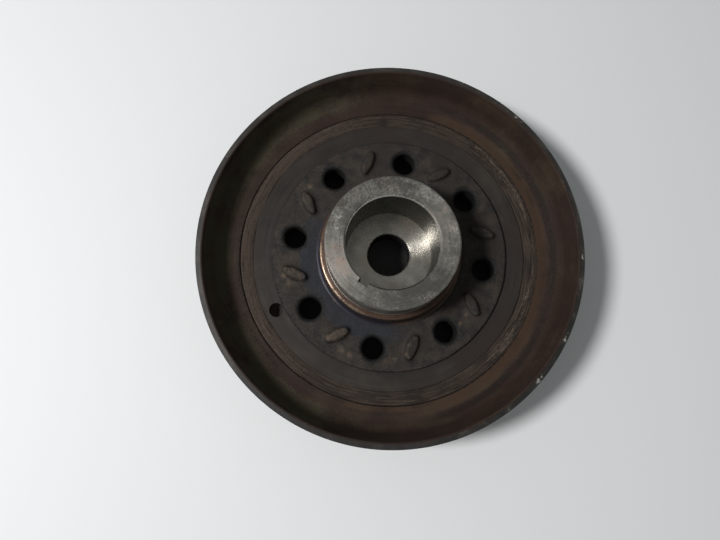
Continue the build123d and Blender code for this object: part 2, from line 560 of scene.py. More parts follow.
@dataclass(frozen=True)
class Metal:
    """An iron surface as a cutter, a mould and years of use have left it.

    Attributes:
        name: The material's name.
        dark: Hex colour of its darker patches.
        pale: Hex colour of its paler patches.
        tint: Hex colour of its widest patches.
        metallic: How much of it shows as clean metal.
        smooth: Roughness of its smoother patches.
        rough: Roughness of its rougher patches.
        patch_mm: Width of its patches of colour.
        grain_mm: Width of its grain.
        grain_depth_mm: Depth of its grain.
        lathe_mm: Spacing of the cutter's marks.
        lathe_depth_mm: Depth of the cutter's marks, 0 on a cast face.
        lathe_share: How much of the colour follows the cutter's marks.
        brushed: How far its shine is drawn out across the cutter's marks.
        specks: How thickly dry crumbs lie on it, from 0 to 1.
        gloss: How strongly it mirrors where it isn't clean metal, 0.5 for a clean surface.
        rust: Hex colour of its rust.
        grime_and_shade: Hex colour of its dark oily dirt, also laid as painted shade.
        dust: Hex colour of its dry dust, also laid as painted light.
        bare: Hex colour of metal rubbed bare, also laid as a painted highlight.
        oil: Hex colour of its bluish oil film.
    """

    name: str
    dark: str
    pale: str
    tint: str
    metallic: float
    smooth: float
    rough: float
    patch_mm: float
    grain_mm: float
    grain_depth_mm: float
    lathe_mm: float = 0.5
    lathe_depth_mm: float = 0.0
    lathe_share: float = 0.3
    brushed: float = 0.0
    specks: float = 0.0
    gloss: float = 0.5
    rust: str = "573726"
    grime_and_shade: str = "0b0a09"
    dust: str = "5a4e40"
    bare: str = "b4aea4"
    oil: str = "26242e"

    def build(self) -> bpy.types.Material:
        """Builds the material from Object coordinates and the wear attributes, once.

        Returns:
            The material, which is the same one each time.
        """
        if self.name in bpy.data.materials:
            return bpy.data.materials[self.name]
        material, place, outward, along = surface_tree(self.name)
        tree = material.node_tree
        cutter = streaks(tree, outward, along, self.lathe_mm, CUTTER_TURNS)
        bands = streaks(tree, outward, along, self.lathe_mm * BAND_SPACINGS, BAND_TURNS)
        patches = speckle(tree, place, self.patch_mm, 6.0)
        wide = speckle(tree, place, self.patch_mm * WIDE_PATCHES, 3.0)
        grain = speckle(tree, place, self.grain_mm, 4.0)
        lines = add_node(tree, "ShaderNodeMix", {0: BAND_SHARE, 2: cutter, 3: bands}).outputs[0]
        tone = add_node(tree, "ShaderNodeMix", {0: self.lathe_share, 2: patches, 3: lines}).outputs[0]
        tone = stretched(tree, tone, *TONE_SPAN)
        colour = mixed(tree, tone, linear(self.dark), linear(self.pale))
        colour = mixed(tree, stretched(tree, wide, *TINT_SPAN), colour, linear(self.tint))
        colour = mixed(tree, broken(tree, Wear.OIL, grain, patches), colour, linear(self.oil))
        colour = mixed(tree, broken(tree, Wear.RUST, lines, patches), colour, linear(self.rust))
        # The dust laid here, and the dark dirt and bare metal below, also carry painted light, painted
        # shade and painted highlights.
        colour = mixed(tree, broken(tree, Wear.DUST_AND_LIGHT, grain, patches), colour, linear(self.dust))
        if self.specks > 0:
            crumbs = speckle(tree, place, CRUMB_MM, 2.0)
            low, high = (edge - CRUMB_SPREAD * self.specks for edge in CRUMB_SPAN)
            sown = stretched(tree, crumbs, low, high)
            colour = mixed(tree, sown, colour, linear(self.dust))
        grime_and_shade = broken(tree, Wear.GRIME_AND_SHADE, grain, bands)
        colour = mixed(tree, grime_and_shade, colour, linear(self.grime_and_shade))
        bare = broken(tree, Wear.BARE_AND_HIGHLIGHT, grain, patches)
        colour = mixed(tree, bare, colour, linear(self.bare))
        worn = add_node(tree, "ShaderNodeMapRange", {0: bare, 3: self.metallic, 4: 1.0}).outputs[0]
        kept = {0: grime_and_shade, 3: 1.0, 4: METAL_UNDER_GRIME}
        clean = add_node(tree, "ShaderNodeMapRange", kept).outputs[0]
        metal = add_node(tree, "ShaderNodeMath", {0: worn, 1: clean}, operation="MULTIPLY").outputs[0]
        low, high = GRAIN_SPAN
        span = {0: grain, 1: low, 2: high, 3: self.smooth, 4: self.rough}
        rough = add_node(tree, "ShaderNodeMapRange", span).outputs[0]
        rubbed = {0: bare, 1: POLISH_OF_BARE, 2: rough}
        rough = add_node(tree, "ShaderNodeMath", rubbed, operation="MULTIPLY_ADD").outputs[0]
        bump = add_node(
            tree, "ShaderNodeBump", {"Distance": self.grain_depth_mm * MM, "Height": grain}
        )
        if self.lathe_depth_mm > 0:
            bump = add_node(
                tree,
                "ShaderNodeBump",
                {"Distance": self.lathe_depth_mm * MM, "Height": lines, "Normal": bump.outputs[0]},
            )
        around = add_node(
            tree, "ShaderNodeVectorMath", {0: (0, 0, 1), 1: outward}, operation="CROSS_PRODUCT"
        ).outputs[0]
        shader = add_node(
            tree,
            "ShaderNodeBsdfPrincipled",
            {
                "Base Color": colour,
                "Metallic": metal,
                "Roughness": rough,
                "Specular IOR Level": self.gloss,
                "Normal": bump.outputs[0],
                "Anisotropic": self.brushed,
                "Anisotropic Rotation": QUARTER_TURN,
                "Tangent": around,
            },
        )
        add_node(tree, "ShaderNodeOutputMaterial", {"Surface": shader.outputs[0]})
        return material


def surface_tree(
    name: str,
) -> tuple[bpy.types.Material, bpy.types.NodeSocket, bpy.types.NodeSocket, bpy.types.NodeSocket]:
    """Starts a material whose patterns follow the crank axis.

    Args:
        name: The material's name.

    Returns:
        The material, the Object coordinates, the direction away from the axis, and the distance
        from the axis plus the height, which grows across the marks of a cutter on any turned face.
    """
    material = bpy.data.materials.new(name)
    material.use_nodes = True
    tree = material.node_tree
    tree.nodes.clear()
    place = add_node(tree, "ShaderNodeTexCoord").outputs["Object"]
    height = add_node(tree, "ShaderNodeSeparateXYZ", {0: place}).outputs["Z"]
    flat = add_node(tree, "ShaderNodeVectorMath", {0: place, 1: (1, 1, 0)}, operation="MULTIPLY").outputs[0]
    radius = add_node(tree, "ShaderNodeVectorMath", {0: flat}, operation="LENGTH").outputs["Value"]
    outward = add_node(tree, "ShaderNodeVectorMath", {0: flat}, operation="NORMALIZE").outputs[0]
    along = add_node(tree, "ShaderNodeMath", {0: radius, 1: height}, operation="ADD").outputs[0]
    return material, place, outward, along


def streaks(
    tree: bpy.types.NodeTree,
    outward: bpy.types.NodeSocket,
    along: bpy.types.NodeSocket,
    spacing_mm: float,
    turns: float,
) -> bpy.types.NodeSocket:
    """A pattern drawn out round the axis, as a cutter or a mould leaves it.

    Args:
        tree: The material's node tree.
        outward: The direction away from the axis.
        along: The distance across the marks.
        spacing_mm: The spacing of the marks.
        turns: How often the pattern changes on its way round.

    Returns:
        The socket of the pattern, about 0.5 on average.
    """
    passes = add_node(tree, "ShaderNodeMath", {0: along, 1: 1000 / spacing_mm}, operation="MULTIPLY")
    swept = add_node(tree, "ShaderNodeVectorMath", {0: outward, 3: turns}, operation="SCALE")
    lift = add_node(tree, "ShaderNodeCombineXYZ", {"Z": passes.outputs[0]})
    track = add_node(
        tree, "ShaderNodeVectorMath", {0: swept.outputs[0], 1: lift.outputs[0]}, operation="ADD"
    )
    pattern = {"Vector": track.outputs[0], "Scale": 1.0, "Detail": 4.0, "Roughness": 0.65}
    return add_node(tree, "ShaderNodeTexNoise", pattern).outputs["Fac"]


def speckle(
    tree: bpy.types.NodeTree, place: bpy.types.NodeSocket, width_mm: float, detail: float
) -> bpy.types.NodeSocket:
    """A pattern of patches that are as wide one way as the other."""
    pattern = {"Vector": place, "Scale": 1000 / width_mm, "Detail": detail, "Roughness": 0.63}
    return add_node(tree, "ShaderNodeTexNoise", pattern).outputs["Fac"]


def stretched(
    tree: bpy.types.NodeTree, value: bpy.types.NodeSocket, low: float, high: float
) -> bpy.types.NodeSocket:
    """Stretches a pattern softly, so that low becomes 0 and high becomes 1."""
    span = {0: value, 1: low, 2: high}
    return add_node(tree, "ShaderNodeMapRange", span, interpolation_type="SMOOTHSTEP").outputs[0]


def mixed(tree: bpy.types.NodeTree, amount: object, under: object, over: object) -> bpy.types.NodeSocket:
    """Lays one colour over another where the amount is above 0."""
    return add_node(tree, "ShaderNodeMix", {0: amount, 6: under, 7: over}, data_type="RGBA").outputs[2]


def broken(
    tree: bpy.types.NodeTree, wear: Wear, fine: bpy.types.NodeSocket, coarse: bpy.types.NodeSocket
) -> bpy.types.NodeSocket:
    """Breaks a wear attribute up, so that it lies in flecks where it is weak.

    Args:
        tree: The material's node tree.
        wear: Which attribute.
        fine: A fine pattern.
        coarse: A coarse pattern.

    Returns:
        The socket of the broken amount, from 0 to 1.
    """
    worn = add_node(
        tree, "ShaderNodeAttribute", attribute_type="GEOMETRY", attribute_name=wear.value
    ).outputs["Fac"]
    both = add_node(tree, "ShaderNodeMath", {0: fine, 1: coarse}, operation="ADD").outputs[0]
    pattern = {0: both, 1: FLECK_CONTRAST, 2: FLECK_LEVEL}
    uneven = add_node(tree, "ShaderNodeMath", pattern, operation="MULTIPLY_ADD").outputs[0]
    weighed = {0: worn, 1: WEAR_WEIGHT, 2: uneven}
    level = add_node(tree, "ShaderNodeMath", weighed, operation="MULTIPLY_ADD").outputs[0]
    mask = add_node(
        tree, "ShaderNodeMath", {0: worn, 1: WEAR_ONSET}, operation="MULTIPLY", use_clamp=True
    )
    flecks = stretched(tree, level, *FLECK_EDGES)
    return add_node(
        tree, "ShaderNodeMath", {0: flecks, 1: mask.outputs[0]}, operation="MULTIPLY"
    ).outputs[0]


# Grey iron as cast: sand-mould grain under years of baked oil, dull brown-black in patches.
CAST_IRON = Metal(
    name="cast_iron_baked_oil",
    dark="100f0d",
    pale="322a23",
    tint="221c18",
    metallic=0.0,
    smooth=0.62,
    rough=0.85,
    patch_mm=6.0,
    grain_mm=0.9,
    grain_depth_mm=0.2,
    rust="33251c",
    dust="4c4135",
    oil="1c1d22",
    gloss=0.32,
)
# Grey iron faced on a lathe and darkened by age: smoother, with faint round marks.
TURNED_IRON = Metal(
    name="turned_iron_darkened",
    dark="14110f",
    pale="322b25",
    tint="241c18",
    metallic=0.05,
    smooth=0.6,
    rough=0.78,
    patch_mm=14.0,
    grain_mm=0.6,
    grain_depth_mm=0.02,
    lathe_mm=0.6,
    lathe_depth_mm=0.04,
    lathe_share=0.6,
    brushed=0.2,
    rust="3a2a1f",
    gloss=0.32,
    dust="453b31",
)
# Clean iron of the nose, fine turned and polished by the seal: bright, dulled in patches.
NOSE_IRON = Metal(
    name="fine_turned_nose",
    dark="585651",
    pale="8d8a84",
    tint="75706a",
    metallic=0.97,
    smooth=0.42,
    rough=0.56,
    patch_mm=6.0,
    grain_mm=0.7,
    grain_depth_mm=0.01,
    lathe_mm=0.25,
    lathe_depth_mm=0.008,
    lathe_share=0.5,
    brushed=0.5,
    rust="7d6a5f",
    bare="c9c6bf",
)
# The bore's floor, turned fine: the palest iron, paler than the same cut on the wall as painted
# light. It draws the light out into a streak.
BORE_IRON = Metal(
    name="fine_turned_bore",
    dark="a39e96",
    pale="c4beb4",
    tint="b4a99c",
    metallic=0.9,
    smooth=0.22,
    rough=0.32,
    patch_mm=5.0,
    grain_mm=0.8,
    grain_depth_mm=0.0002,
    lathe_mm=0.3,
    lathe_depth_mm=0.001,
    lathe_share=0.35,
    brushed=0.88,
    rust="6b5546",
)
# The same cut on the bore's wall, coloured darker than the floor as painted shade.
WALL_IRON = Metal(
    name="bore_wall_painted_shade",
    dark="43443f",
    pale="5f5d57",
    tint="4f4e49",
    metallic=0.95,
    smooth=0.24,
    rough=0.36,
    patch_mm=7.0,
    grain_mm=0.8,
    grain_depth_mm=0.0002,
    lathe_mm=0.3,
    lathe_depth_mm=0.001,
    brushed=0.85,
)
# The shoulder under the nose, browned by heat and oil with fine cutter marks.
SHOULDER_IRON = Metal(
    name="heat_browned_shoulder",
    dark="33271f",
    pale="604a3c",
    tint="48362c",
    metallic=0.6,
    smooth=0.42,
    rough=0.6,
    patch_mm=5.0,
    grain_mm=0.6,
    grain_depth_mm=0.002,
    lathe_mm=0.3,
    lathe_depth_mm=0.005,
    lathe_share=0.6,
    brushed=0.5,
    bare="93806f",
)
# The trough of the ring: turned, then rusted and oiled to a purple brown.
TROUGH_IRON = Metal(
    name="turned_trough_rusted",
    dark="231a17",
    pale="34281f",
    tint="2b201d",
    metallic=0.0,
    smooth=0.62,
    rough=0.85,
    patch_mm=14.0,
    grain_mm=0.8,
    grain_depth_mm=0.015,
    lathe_mm=0.9,
    lathe_depth_mm=0.04,
    lathe_share=0.55,
    brushed=0.1,
    specks=0.1,
    rust="3a2c22",
    oil="1c1411",
    dust="3c372c",
    gloss=0.15,
)
# The rim's outside and its bevel, which are handled and rubbed: a duller grey with bare flecks.
RIM_IRON = Metal(
    name="rubbed_rim",
    dark="171614",
    pale="3c3733",
    tint="25211f",
    metallic=0.3,
    smooth=0.55,
    rough=0.7,
    patch_mm=6.0,
    grain_mm=0.6,
    grain_depth_mm=0.03,
    lathe_depth_mm=0.02,
    lathe_share=0.4,
    brushed=0.1,
)
# The belt's grooves, kept bright by the belt but dulled since.
BELT_IRON = Metal(
    name="belt_polished_grooves",
    dark="3a3734",
    pale="67625c",
    tint="4b423b",
    metallic=0.7,
    smooth=0.34,
    rough=0.5,
    patch_mm=10.0,
    grain_mm=0.6,
    grain_depth_mm=0.02,
    lathe_mm=0.3,
    lathe_depth_mm=0.02,
    lathe_share=0.5,
    brushed=0.5,
)


@dataclass(frozen=True)
class DustyRubber:
    """Moulded damper rubber: dark and matt, with dry dust and fine moulding lines.

    Attributes:
        name: The material's name.
        clean: Hex colour of the rubber.
        dusty: Hex colour of the dust on it.
        crumb: Hex colour of the pale crumbs in the dust.
        streak_mm: Spacing of the moulding lines.
        streak_depth_mm: Depth of the moulding lines.
        grain_mm: Width of the dust's grains.
    """

    name: str = "moulded_rubber_dusty"
    clean: str = "1f1916"
    dusty: str = "40362f"
    crumb: str = "65594f"
    streak_mm: float = 0.6
    streak_depth_mm: float = 0.09
    grain_mm: float = 0.9

    def build(self) -> bpy.types.Material:
        """Builds the material from Object coordinates and the wear attributes.

        Returns:
            The material.
        """
        material, place, outward, along = surface_tree(self.name)
        tree = material.node_tree
        lines = streaks(tree, outward, along, self.streak_mm, 5.0)
        grain = speckle(tree, place, self.grain_mm, 4.0)
        patches = speckle(tree, place, 9.0, 4.0)
        colour = mixed(tree, stretched(tree, lines, 0.32, 0.7), linear(self.clean), linear(self.dusty))
        colour = mixed(tree, stretched(tree, patches, 0.5, 0.75), colour, linear(self.clean))
        colour = mixed(tree, broken(tree, Wear.DUST_AND_LIGHT, grain, lines), colour, linear(self.dusty))
        colour = mixed(tree, broken(tree, Wear.BARE_AND_HIGHLIGHT, grain, lines), colour, linear(self.crumb))
        bump = add_node(
            tree, "ShaderNodeBump", {"Distance": self.streak_depth_mm * MM, "Height": lines}
        )
        shader = add_node(
            tree,
            "ShaderNodeBsdfPrincipled",
            {
                "Base Color": colour,
                "Roughness": 0.9,
                "Specular IOR Level": 0.25,
                "Normal": bump.outputs[0],
            },
        )
        add_node(tree, "ShaderNodeOutputMaterial", {"Surface": shader.outputs[0]})
        return material


def polar(places: np.ndarray) -> tuple[np.ndarray, np.ndarray, np.ndarray]:
    """The radius, the angle in degrees and the height of each point."""
    radius = np.hypot(places[:, 0], places[:, 1])
    return radius, np.degrees(np.arctan2(places[:, 1], places[:, 0])), places[:, 2]


def mesh_places(piece: bpy.types.Object) -> np.ndarray:
    """Reads where the piece's vertices are.

    Args:
        piece: The piece.

    Returns:
        One row of x, y and z in millimetres for each vertex.
    """
    places = np.zeros(len(piece.data.vertices) * 3, np.float32)
    piece.data.vertices.foreach_get("co", places)
    return places.reshape(-1, 3).astype(float) / MM


def move_vertices(piece: bpy.types.Object, places: np.ndarray) -> None:
    """Moves the piece's vertices to places in millimetres, one row for each."""
    piece.data.vertices.foreach_set("co", (places * MM).astype(np.float32).ravel())
    piece.data.update()


@dataclass(frozen=True)
class Zone:
    """A zone of a turned piece with soft edges.

    Attributes:
        radii: Its inner radius, its outer radius and how far each fades.
        heights: Its lower height, its upper height and how far each fades.
    """

    radii: tuple[float, float, float]
    heights: tuple[float, float, float]

    def weights(self, radius: np.ndarray, height: np.ndarray) -> np.ndarray:
        """1 at the points inside the zone and 0 at those outside it."""
        return band(radius, *self.radii) * band(height, *self.heights)


@dataclass(frozen=True)
class Mark:
    """A mark of wear on a turned piece.

    Attributes:
        wear: The kind of wear.
        strength: Its amount where it is strongest.
        zone: Where it lies across the piece.
        stretch: The middle, half width and fade of its stretch round the axis, in degrees.
        adds: Whether it adds to the marks before it, or only shows where it is the stronger.
    """

    wear: Wear
    strength: float
    zone: Zone
    stretch: tuple[float, float, float] = (0.0, 180.0, 1.0)
    adds: bool = False


class WearMap:
    """The wear of one piece: for each kind, its amount at each vertex."""

    def __init__(self, places: np.ndarray, marks: Sequence[Mark]) -> None:
        """Lays the marks over each other.

        Args:
            places: One row of x, y and z in millimetres for each vertex.
            marks: The marks, from the lowest to the uppermost.
        """
        self.radius, self.degrees, self.height = polar(places)
        self.amounts: dict[Wear, np.ndarray] = {}
        for mark in marks:
            amount = mark.strength * mark.zone.weights(self.radius, self.height)
            self.lay(mark.wear, amount * arc(self.degrees, *mark.stretch), mark.adds)

    def lay(self, wear: Wear, amount: np.ndarray, adds: bool = False) -> None:
        """Lays one kind of wear over what is there.

        Args:
            wear: The kind of wear.
            amount: Its amount at each vertex.
            adds: Whether it adds to what is there, or only shows where it is the stronger.
        """
        under = self.amounts.get(wear, np.zeros(len(self.radius)))
        self.amounts[wear] = under + amount if adds else np.maximum(under, amount)

    def write(self, piece: bpy.types.Object) -> None:
        """Writes each kind of wear as an attribute.

        Args:
            piece: The piece that gets the attributes.
        """
        for wear, amount in self.amounts.items():
            attribute = piece.data.attributes.new(wear.value, "FLOAT", "POINT")
            attribute.data.foreach_set("value", np.clip(amount, 0.0, 1.0).astype(np.float32))


@dataclass(frozen=True)
class Waves:
    """Waves or lumps on a surface, with finer ones on them.

    Attributes:
        width_mm: Their width.
        depth_mm: Their height.
        finer: How many times narrower the finer ones are.
        finer_share: The finer ones' height as a share of theirs.
    """

    width_mm: float
    depth_mm: float
    finer: float = 2.7
    finer_share: float = 0.4


# What a sand mould leaves on the whole casting, on its raised plate and on the ribs, and lumps of
# dirt and dust.
SAND_WAVES = Waves(width_mm=5.0, depth_mm=0.12)
PLATE_WAVES = Waves(width_mm=11.0, depth_mm=0.3)
RIB_LUMPS = Waves(width_mm=3.2, depth_mm=0.25)
DIRT_LUMPS = Waves(width_mm=2.1, depth_mm=0.42)
DUST_LUMPS = Waves(width_mm=2.2, depth_mm=0.09)


def roughen(piece: bpy.types.Object, weights: np.ndarray, waves: Waves) -> None:
    """Moves vertices a little every way.

    Args:
        piece: The piece.
        weights: How far each vertex follows, from 0 to 1.
        waves: The waves that it gets.
    """
    places = mesh_places(piece)
    for i in np.nonzero(weights > 0)[0]:
        spot = Vector(places[i] / waves.width_mm)
        fine = noise.noise_vector(spot * waves.finer) * waves.finer_share
        shift = noise.noise_vector(spot) + fine
        places[i] += np.array(shift) * waves.depth_mm * weights[i]
    move_vertices(piece, places)


def finish_weights(piece: bpy.types.Object, slot_numbers: set[int]) -> np.ndarray:
    """Finds the vertices that lie only on faces of the given material slots.

    Args:
        piece: The piece.
        slot_numbers: The slots.

    Returns:
        1 for such a vertex and 0 for any other.
    """
    inside = np.ones(len(piece.data.vertices))
    for polygon in piece.data.polygons:
        if polygon.material_index not in slot_numbers:
            inside[list(polygon.vertices)] = 0.0
    return inside


class FlatFace:
    """A face between a border and rings of vertices, which may stand above or below it."""

    def __init__(self, border: Sequence[tuple[float, float]]) -> None:
        """Starts the face.

        Args:
            border: The x and y of its border's places, in order round it.
        """
        self.places = [tuple(map(float, place)) for place in border]
        self.heights = [0.0] * len(self.places)
        self.border = list(range(len(self.places)))
        self.rings: list[list[int]] = []

    def add_ring(self, spots: np.ndarray, height: float) -> None:
        """Adds a closed ring of vertices.

        Args:
            spots: One row of x and y for each vertex.
            height: The ring's height over the face.
        """
        first = len(self.places)
        self.places.extend((float(x), float(y)) for x, y in spots)
        self.heights.extend([height] * len(spots))
        self.rings.append(list(range(first, len(self.places))))

    def fill(
        self,
        draft: Draft,
        level: float,
        finish: Finish,
        hole: tuple[np.ndarray, float],
        upwards: bool,
        spacing: float = 1.0,
    ) -> dict[int, int]:
        """Fills the face with triangles.

        Args:
            draft: The piece that gets the triangles.
            level: The face's height.
            finish: The face's finish.
            hole: Centre and radius of the hole that stays open.
            upwards: Whether the face looks towards the engine.
            spacing: The triangles' width.

        Returns:
            For each of the face's places, the number of its vertex in the piece.
        """
        fixed = np.array(self.places)
        low, high = fixed.min(axis=0), fixed.max(axis=0)
        inner = [self.places[v] for v in self.border]
        places, heights = list(self.places), list(self.heights)
        for row, y in enumerate(np.arange(low[1], high[1], 0.87 * spacing)):
            for x in np.arange(low[0] + 0.5 * spacing * (row % 2), high[0], spacing):
                spot = np.array((x, y))
                if np.min(np.hypot(*(fixed - spot).T)) < 0.62 * spacing or not enclosed(spot, inner):
                    continue
                places.append((float(x), float(y)))
                heights.append(self.height_at(spot))
        edges = [(ring[i - 1], ring[i]) for ring in self.rings for i in range(len(ring))]
        filled = delaunay_2d_cdt([Vector(p) for p in places], edges, [self.border], 1, 1e-5)
        spots, triangles, sources = filled[0], filled[2], filled[3]
        lifts = [heights[source[0]] if source else 0.0 for source in sources]
        numbers = draft.add_points(np.array([(s.x, s.y, level + h) for s, h in zip(spots, lifts)]))
        centre, radius = hole
        for triangle in triangles:
            corners = [np.array(spots[v]) for v in triangle]
            if np.linalg.norm(sum(corners) / len(corners) - centre) < radius * 0.995:
                continue
            (ax, ay), (bx, by) = corners[1] - corners[0], corners[2] - corners[0]
            order = triangle if (ax * by - ay * bx > 0) == upwards else triangle[::-1]
            draft.faces.append(tuple(numbers[v] for v in order))
            draft.finishes.append(finish)
        return {source: numbers[k] for k, found in enumerate(sources) for source in found}

    def height_at(self, spot: np.ndarray) -> float:
        """Finds how high the face stands at a spot.

        Args:
            spot: The spot's x and y.

        Returns:
            The height of the smallest ring round the spot, or 0 outside all rings.
        """
        for ring in reversed(self.rings):
            if enclosed(spot, [self.places[v] for v in ring]):
                return self.heights[ring[0]]
        return 0.0


def enclosed(spot: np.ndarray, loop: Sequence[tuple[float, float]]) -> bool:
    """Tells whether a spot lies inside a closed loop.

    Args:
        spot: The spot's x and y.
        loop: The x and y of the loop's places, in order round it.

    Returns:
        Whether it lies inside.
    """
    xs, ys = np.array(loop).T
    next_xs, next_ys = np.roll(xs, -1), np.roll(ys, -1)
    crosses = (ys > spot[1]) != (next_ys > spot[1])
    with np.errstate(divide="ignore", invalid="ignore"):
        meets = xs + (spot[1] - ys) * (next_xs - xs) / (next_ys - ys)
    return bool(np.count_nonzero(crosses & (spot[0] < meets)) % 2)


# Heights that the zones share. The top lies over everything.
TOP = 60.0
ENGINE_SIDE = (22.0, TOP, 3.0)
TROUGH_SIDE = (22.0, TOP, 0.5)
RIM_EDGE = (37.0, TOP, 1.0)

SHOULDER_FOOT = Zone((33.6, 35.5, 1.5), ENGINE_SIDE)
SHOULDER_EDGE = Zone((32.3, 33.5, 0.3), (31.9, 33.4, 0.3))
OILY_PLATE = Zone((34.5, 42.0, 3.0), ENGINE_SIDE)
RIBBED_PLATE = Zone((38.5, 53.5, 2.5), (23.5, TOP, 2.0))
RUSTY_PLATE = Zone((40.0, 56.0, 4.0), ENGINE_SIDE)
PLATE_EDGE = Zone((56.2, 57.6, 0.8), ENGINE_SIDE)
MACHINED_BAND = Zone((57.0, 66.0, 1.0), ENGINE_SIDE)
BOLT_HOLE = Zone((0.0, 10.3, 0.3), (0.0, 19.0, 1.0))
BORE_MOUTH = Zone((21.0, 23.3, 0.05), (48.3, 48.7, 0.1))
NOSE_SIDE = Zone((30.3, 30.4, 0.03), (0.0, 47.5, 1.4))
NOSE_FACE = Zone((22.0, 30.0, 0.5), (49.3, TOP, 0.3))

HUB_MARKS = (
    Mark(Wear.GRIME_AND_SHADE, 0.5, SHOULDER_FOOT, (-60, 80, 40)),
    Mark(Wear.GRIME_AND_SHADE, 0.45, PLATE_EDGE),
    # Painted shade: the bolt hole's wall is darkened.
    Mark(Wear.GRIME_AND_SHADE, 1.0, BOLT_HOLE),
    # Painted shade on the bore's chamfer round -75°.
    Mark(Wear.GRIME_AND_SHADE, 1.0, BORE_MOUTH, (-75, 50, 15)),
    Mark(Wear.GRIME_AND_SHADE, 0.05, NOSE_SIDE),
    # Painted shade on the nose's side round -115°.
    Mark(Wear.GRIME_AND_SHADE, 0.4, NOSE_SIDE, (-115, 45, 25), adds=True),
    # Painted shade on the nose's end face round 175° and round -88°.
    Mark(Wear.GRIME_AND_SHADE, 0.3, NOSE_FACE, (175, 22, 15)),
    Mark(Wear.GRIME_AND_SHADE, 0.3, NOSE_FACE, (-88, 28, 15)),
    Mark(Wear.RUST, 0.28, RUSTY_PLATE),
    Mark(Wear.RUST, 0.4, NOSE_FACE, (25, 12, 12)),
    Mark(Wear.RUST, 0.4, NOSE_FACE, (-160, 14, 12)),
    Mark(Wear.RUST, 0.4, NOSE_FACE, (108, 20, 12)),
    # Painted highlight along the shoulder's edge round -150°.
    Mark(Wear.BARE_AND_HIGHLIGHT, 0.7, SHOULDER_EDGE, (-150, 30, 18)),
    # Painted highlight on the bore's chamfer round 110°.
    Mark(Wear.BARE_AND_HIGHLIGHT, 1.0, BORE_MOUTH, (110, 55, 15)),
    # Painted highlight on the nose's end face round 105°.
    Mark(Wear.BARE_AND_HIGHLIGHT, 0.42, NOSE_FACE, (105, 55, 25)),
    Mark(Wear.BARE_AND_HIGHLIGHT, 0.25, NOSE_FACE, (-60, 75, 25)),
    Mark(Wear.DUST_AND_LIGHT, 0.16, MACHINED_BAND),
    Mark(Wear.OIL, 0.12, OILY_PLATE),
    Mark(Wear.OIL, 0.88, OILY_PLATE, (-145, 40, 45), adds=True),
)


